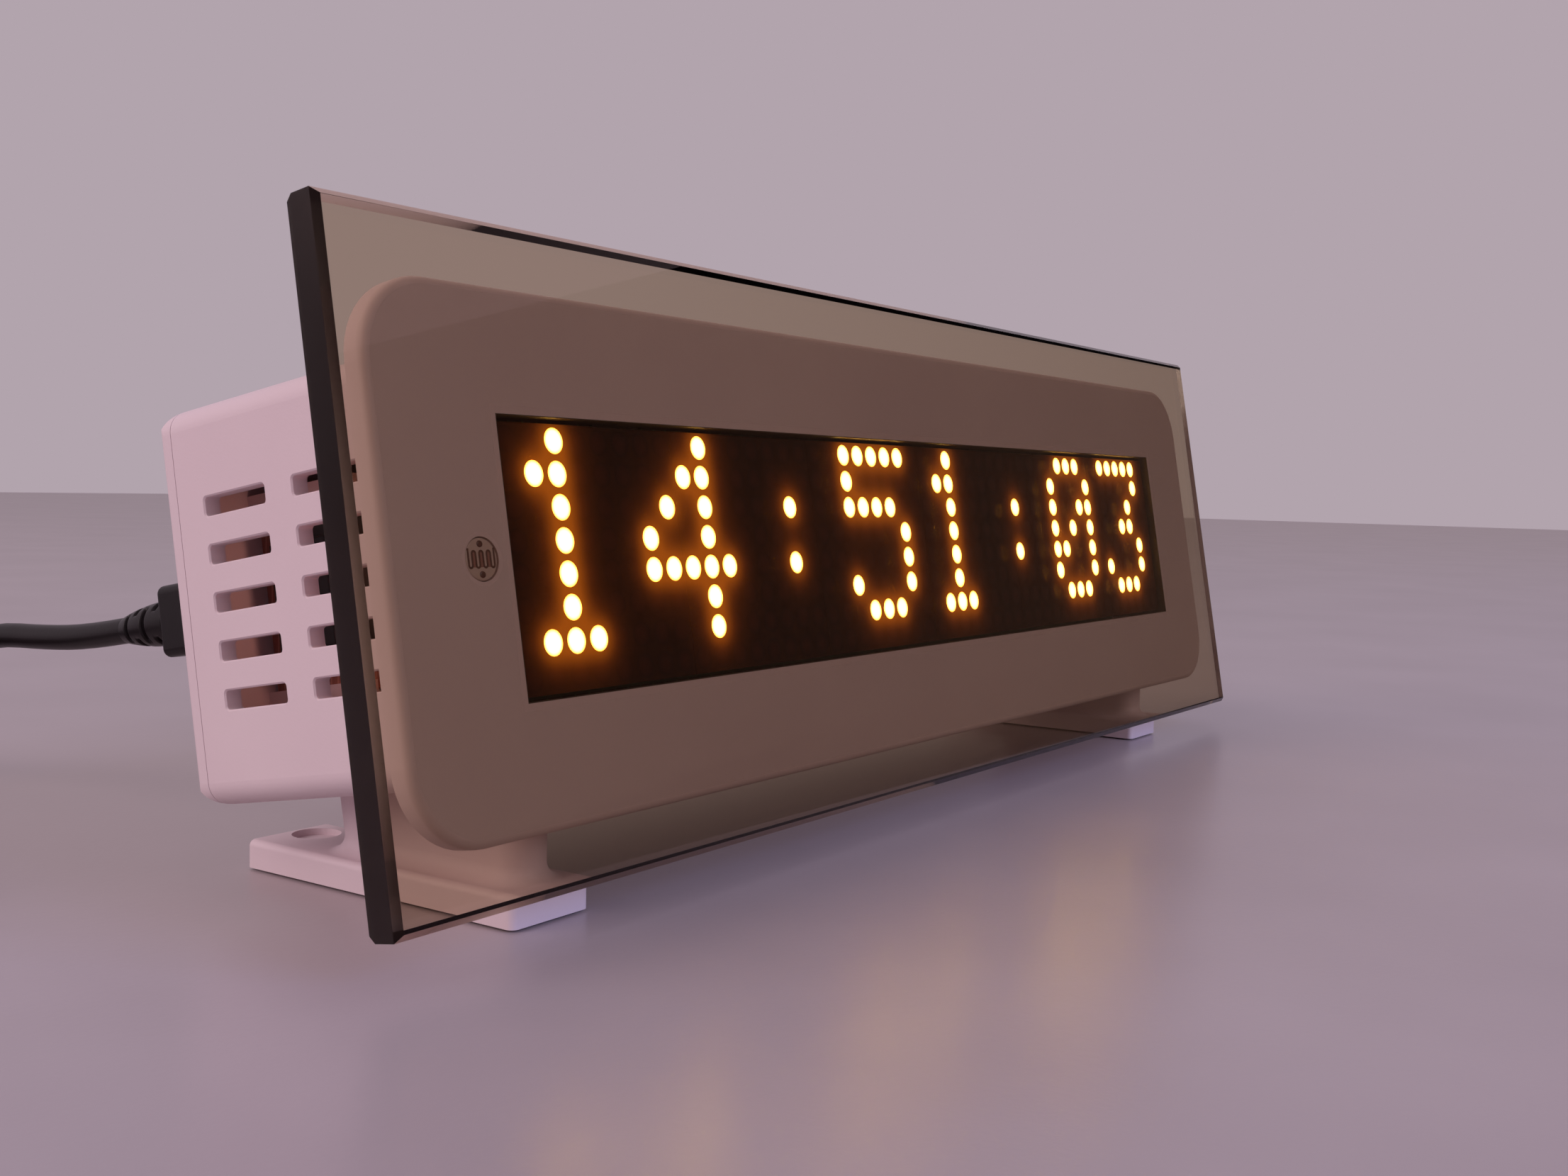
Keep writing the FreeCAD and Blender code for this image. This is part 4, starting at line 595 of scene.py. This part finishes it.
def dot_distance(tree, where):
    """Distance from the nearest dot's middle, in pitches: the lean is undone, the place divided
    by the pitch, its fraction less one half is taken along x and z, and that has a length."""
    part = add(tree, "VectorMath", {0: on_case(tree, where, DOT_PITCH)}, operation="FRACTION")
    centred = add(tree, "VectorMath", {0: part.outputs["Vector"], 1: (0.5,) * 3},
                  operation="SUBTRACT")
    flat = add(tree, "VectorMath", {0: centred.outputs["Vector"], 1: (1, 0, 1)},
               operation="MULTIPLY")
    return add(tree, "VectorMath", {0: flat.outputs["Vector"]}, operation="LENGTH").outputs["Value"]


lit_lens, tree, shader, where = new_finish(
    "amber_dot_lens_lit", Base_Color=linear("#FFB040"), Roughness=0.35,
    Emission_Strength=LIT_STRENGTH)
ramp = add(tree, "ValToRGB", {"Fac": dot_distance(tree, where)}, stops=[
    (0.0, (1.0, 0.82, 0.28, 1)), (0.3, (1.0, 0.78, 0.18, 1)),
    (0.36, (0.7, 0.42, 0.08, 1)), (0.4, (0.34, 0.13, 0.01, 1))])
tree.links.new(ramp.outputs["Color"], shader.inputs["Emission Color"])
dress(lit_lens, "lit_dots")

dark_lens, tree, shader, where = new_finish(
    "smoky_dot_lens_off", Roughness=0.6, IOR=1.5, Specular_IOR_Level=0.05)
ramp = add(tree, "ValToRGB", {"Fac": dot_distance(tree, where)}, stops=[
    (0.0, linear("#38180E")), (0.3, linear("#30140C")), (0.4, linear("#24100A"))])
tree.links.new(ramp.outputs["Color"], shader.inputs["Base Color"])
dress(dark_lens, "dark_dots")

module_plastic, tree, shader, where = new_finish(
    "black_epoxy_potted_module", Roughness=0.8, IOR=1.5, Specular_IOR_Level=0.05)
mottle(tree, shader, where, 3.0, [linear("#2A150C"), linear("#361C10")])
grain(tree, shader, where, 0.3, 0.01)
modules = ["led_module_%d" % (i + 1) for i in range(6)]
dress(module_plastic, *modules)

# %% [markdown]
# The plate and the air in front of the dots spread some of their light. A thin film just ahead
# of the modules carries that glow. Each point of it is as bright as the lit dots near it make
# it: every lit dot adds a bell curve of its distance.

# %% Glow film
FILM_Y = -0.06
FILM_STEP = 0.5
GLOW_NEAR = 2.4
GLOW_FAR = 5.0
FAR_SHARE = 0.1
lit_places = case_places(nodes["lit_dots"].data)
lit_cells = np.unique(np.floor(lit_places[:, [0, 2]] / DOT_PITCH), axis=0)
lit_centres = (lit_cells + 0.5) * DOT_PITCH
print("lit dots:", len(lit_centres))

half_width = DOT_PITCH * 24
half_height = DOT_PITCH * 4
across = np.arange(-half_width, half_width + FILM_STEP / 2, FILM_STEP)
upwards = np.arange(-half_height, half_height + FILM_STEP / 2, FILM_STEP)
film_x, film_z = np.meshgrid(across, upwards)
film_grid = lean(np.stack([film_x, np.full_like(film_x, FILM_Y), film_z], axis=-1))
apart = np.hypot(
    film_x[..., None] - lit_centres[:, 0], film_z[..., None] - lit_centres[:, 1])
glow = (np.exp(-(apart / GLOW_NEAR) ** 2)
        + FAR_SHARE * np.exp(-(apart / GLOW_FAR) ** 2)).sum(axis=-1)

glow_film, tree, shader, where = new_finish("glow_film_over_display")
level = add(tree, "Attribute", attribute_name="glow")
ramp = add(tree, "ValToRGB", {"Fac": level.outputs["Fac"]}, stops=[
    (0.0, (0.0, 0.0, 0.0, 1)), (0.25, (0.1, 0.021, 0.001, 1)), (1.0, (0.52, 0.13, 0.007, 1))])
glare = add(tree, "Emission", {"Color": ramp.outputs["Color"], "Strength": 1.0})
clear = add(tree, "BsdfTransparent")
both = add(tree, "AddShader", {0: glare.outputs["Emission"], 1: clear.outputs["BSDF"]})
tree.nodes.remove(shader)
tree.links.new(both.outputs["Shader"], tree.nodes["Material Output"].inputs["Surface"])
film = skin("glow_film", film_grid, glow_film)
film.data.attributes.new("glow", "FLOAT", "POINT").data.foreach_set(
    "value", np.clip(glow, 0, 1).ravel().astype(np.float32))

# %% [markdown]
# ## The light sensor
# A photoresistor: a disc with a dark track that winds to and fro between two terminals, under a
# clear coat. The track is a real ribbon here, a little proud of the disc. Its line is a chain of
# straight runs joined by half circles, and a flat rounded section is carried along it. Inside
# each arch of the track the sensitive layer shows reddish, which the disc's finish draws as
# stripes of the same pitch.

# %% Sensor track
SENSOR_X = -101.2
SENSOR_FACE_Y = -1.25
TRACK_PITCH = 0.56
TRACK_RUNS = 8
TRACK_REACH = 0.66
OUTER_REACH = 1.25
TRACK_HALF_WIDTH = 0.14
TRACK_HEIGHT = 0.05
ARCHES = (-2, 0, 2)
ARCH_HALF = (TRACK_PITCH / 2, 5.0, 0.9)


def winding_line():
    """Line that runs up and down: run i lies at its own x, and each end is joined to the next
    run by half a circle of half the pitch. The first and last runs reach further."""
    bend = np.linspace(0, np.pi, 9)
    line = [[-(TRACK_RUNS - 1) / 2 * TRACK_PITCH, OUTER_REACH]]
    for i in range(TRACK_RUNS - 1):
        side = 1 if i % 2 else -1
        middle = (i + 1 - TRACK_RUNS / 2) * TRACK_PITCH
        arc_x = middle - TRACK_PITCH / 2 * np.cos(bend)
        arc_z = side * (TRACK_REACH + TRACK_PITCH / 2 * np.sin(bend))
        line += np.column_stack([arc_x, arc_z]).tolist()
    line += [[(TRACK_RUNS - 1) / 2 * TRACK_PITCH, OUTER_REACH]]
    return np.array(line)


def ribbon(line, half_width, height, base_y):
    """Flat band along a line in the display's plane: at each point the section runs from one
    side over the raised middle to the other, with the side at right angles to the line."""
    run = np.gradient(line, axis=0)
    run /= np.linalg.norm(run, axis=1)[:, None]
    side = np.column_stack([-run[:, 1], run[:, 0]])
    section = np.array([[-1, 0.4], [-0.8, -0.7], [0, -1], [0.8, -0.7], [1, 0.4]])
    flat = line[:, None, :] + side[:, None, :] * (section[:, 0] * half_width)[None, :, None]
    depth = np.broadcast_to(base_y + section[:, 1] * height, flat.shape[:2])
    return np.stack([flat[..., 0] + SENSOR_X, depth, flat[..., 1]], axis=-1)


def button_dome(x, z, half_x, half_z, height, base_y):
    """Low dome on an ellipse: at the share r of the way out, its height is one less r to the
    fourth power, and its rim sinks a little into the disc."""
    share = np.linspace(0.05, 1, 6)[:, None]
    turn = np.linspace(0, 2 * np.pi, 20, endpoint=False)[None, :]
    rise = height * (1 - share ** 4) - 0.2 * height
    return np.stack([x + half_x * share * np.cos(turn), base_y - rise + 0 * turn,
                     z + half_z * share * np.sin(turn)], axis=-1)


dark_track, tree, shader, where = new_finish(
    "dark_metal_track_under_clear_coat", Roughness=0.4, Coat_Weight=0.5, Coat_Roughness=0.1)
mottle(tree, shader, where, 0.4, [linear("#4A2824"), linear("#63392F")])
skin(
    "sensor_track", lean(ribbon(winding_line(), TRACK_HALF_WIDTH, TRACK_HEIGHT, SENSOR_FACE_Y)),
    dark_track, round_columns=True)
for name, z in (("upper", 1.72), ("lower", -1.72)):
    smooth(skin(
        "sensor_terminal_" + name,
        lean(button_dome(SENSOR_X - 0.05, z, 0.5, 0.42, 0.1, SENSOR_FACE_Y)),
        dark_track, round_columns=True))

# %% Sensor disc
sensor_face, tree, shader, where = new_finish(
    "photoresistor_disc_under_clear_coat", Roughness=0.5, Coat_Weight=0.5, Coat_Roughness=0.1)
layer = 0.0
for run in ARCHES:
    arch = within(tree, on_case(tree, where), (SENSOR_X + run * TRACK_PITCH, 0, 0), ARCH_HALF)
    layer = add(tree, "Math", {0: layer, 1: arch}, operation="MAXIMUM").outputs["Value"]
reddish = add(tree, "Mix", {0: layer, 6: linear("#C8B4AE"), 7: linear("#9A6A60")}, data_type="RGBA")
tree.links.new(reddish.outputs[2], shader.inputs["Base Color"])
grain(tree, shader, where, 0.2, 0.01)
dress(sensor_face, "light_sensor")

# %% [markdown]
# ## The lead's black plastic
# The plugs, the strain reliefs and the lead's jacket are soft PVC with a dull shine.

# %% Black PVC
black_pvc, tree, shader, where = new_finish(
    "black_soft_PVC_moulded", Roughness=0.35, IOR=1.53, Specular_IOR_Level=0.25)
mottle(tree, shader, where, 8.0, [linear("#0D0708"), linear("#150D0F")])
grain(tree, shader, where, 0.5, 0.01)
for shape in (curve, plug_relief.data, usb_relief.data):
    shape.materials.append(black_pvc)
dress(black_pvc, "power_plug", "usb_plug")

# %% [markdown]
# ## Everything inside
# Boards, chips and screws show only through the vents and from behind, but each has the finish
# of its real material. The exception is the controller board, whose reddish brown is painted warm
# light. Together with the stray lamp, that colour gives the warm tone which the display's stray
# light lends the inside of the case.

# %% Metals, boards and small parts
bright_steel, tree, shader, where = new_finish(
    "nickel_plated_steel", Metallic=1.0, Roughness=0.28)
mottle(tree, shader, where, 2.0, [linear("#B9B8B4"), linear("#CDCCC8")])
grain(tree, shader, where, 0.2, 0.004)
dress(bright_steel, "power_socket", "coin_cell", "cover_screws", "display_screws",
      "board_screws", "foot_screws", "plug_shell", "usb_plug_shell")

tinned_copper, tree, shader, where = new_finish("tinned_copper_wire", Metallic=1.0, Roughness=0.3)
mottle(tree, shader, where, 1.0, [linear("#C9C2B6"), linear("#DAD5CC")])
dress(tinned_copper, "sensor_leads")

drawn_can, tree, shader, where = new_finish("drawn_aluminium_can", Metallic=1.0, Roughness=0.35)
mottle(tree, shader, where, 1.5, [linear("#BFC1C2"), linear("#D4D6D7")])
dress(drawn_can, "board_capacitors")


def solder_mask(name, dark, light):
    """Glass-fibre board under solder mask: tracks show as lighter lines, drawn by a brick
    pattern whose rows are 1.3 mm apart."""
    material, tree, shader, where = new_finish(name, Roughness=0.3, IOR=1.5, Coat_Weight=0.3)
    bricks = add(tree, "TexBrick", {
        "Vector": where, "Scale": 1 / (5.2 * MM), "Color1": linear(dark), "Color2": linear(dark),
        "Mortar": linear(light), "Mortar Size": 0.03, "Mortar Smooth": 0.2})
    tree.links.new(bricks.outputs["Color"], shader.inputs["Base Color"])
    grain(tree, shader, where, 0.6, 0.01)
    return material


dress(solder_mask("green_solder_mask_board", "#123A22", "#2A6A3E"), "display_board", "button_board")
# Painted warm light: the controller board's reddish brown stands in for the display's stray light
# inside the case.
dress(solder_mask("brown_board_painted_warm_light", "#9A6458", "#B98474"), "controller_board")
dress(solder_mask("blue_solder_mask_board", "#14284E", "#2C4C80"), "clock_board")

black_plastic, tree, shader, where = new_finish("black_glass_filled_nylon", Roughness=0.5, IOR=1.53)
mottle(tree, shader, where, 2.5, [linear("#161416"), linear("#201E20")])
grain(tree, shader, where, 0.25, 0.008)
dress(black_plastic, "module_sockets", "driver_chips", "processor_module", "processor_shield",
      "cell_holder", "clock_chip", "button_switches", *plungers)

white_nylon, tree, shader, where = new_finish("natural_nylon_insert", Roughness=0.45, IOR=1.53)
mottle(tree, shader, where, 2.0, [linear("#D9D6CC"), linear("#E4E1D8")])
dress(white_nylon, "cable_headers", "usb_plug_tongue")

wire_jacket, tree, shader, where = new_finish("red_PVC_wire_jacket", Roughness=0.45, IOR=1.53)
mottle(tree, shader, where, 3.0, [linear("#7A1812"), linear("#8E2218")])
dress(wire_jacket, "display_cable")

pad_rubber, tree, shader, where = new_finish("grey_rubber_pad", Roughness=0.75, IOR=1.52)
mottle(tree, shader, where, 1.0, [linear("#2E2C2C"), linear("#3A3838")])
grain(tree, shader, where, 0.3, 0.02)
dress(pad_rubber, "foot_pads")

strap_fabric, tree, shader, where = new_finish("hook_and_loop_strap", Roughness=0.9)
mottle(tree, shader, where, 0.8, [linear("#121113"), linear("#232124")])
grain(tree, shader, where, 0.35, 0.08)
dress(strap_fabric, "cord_tie")
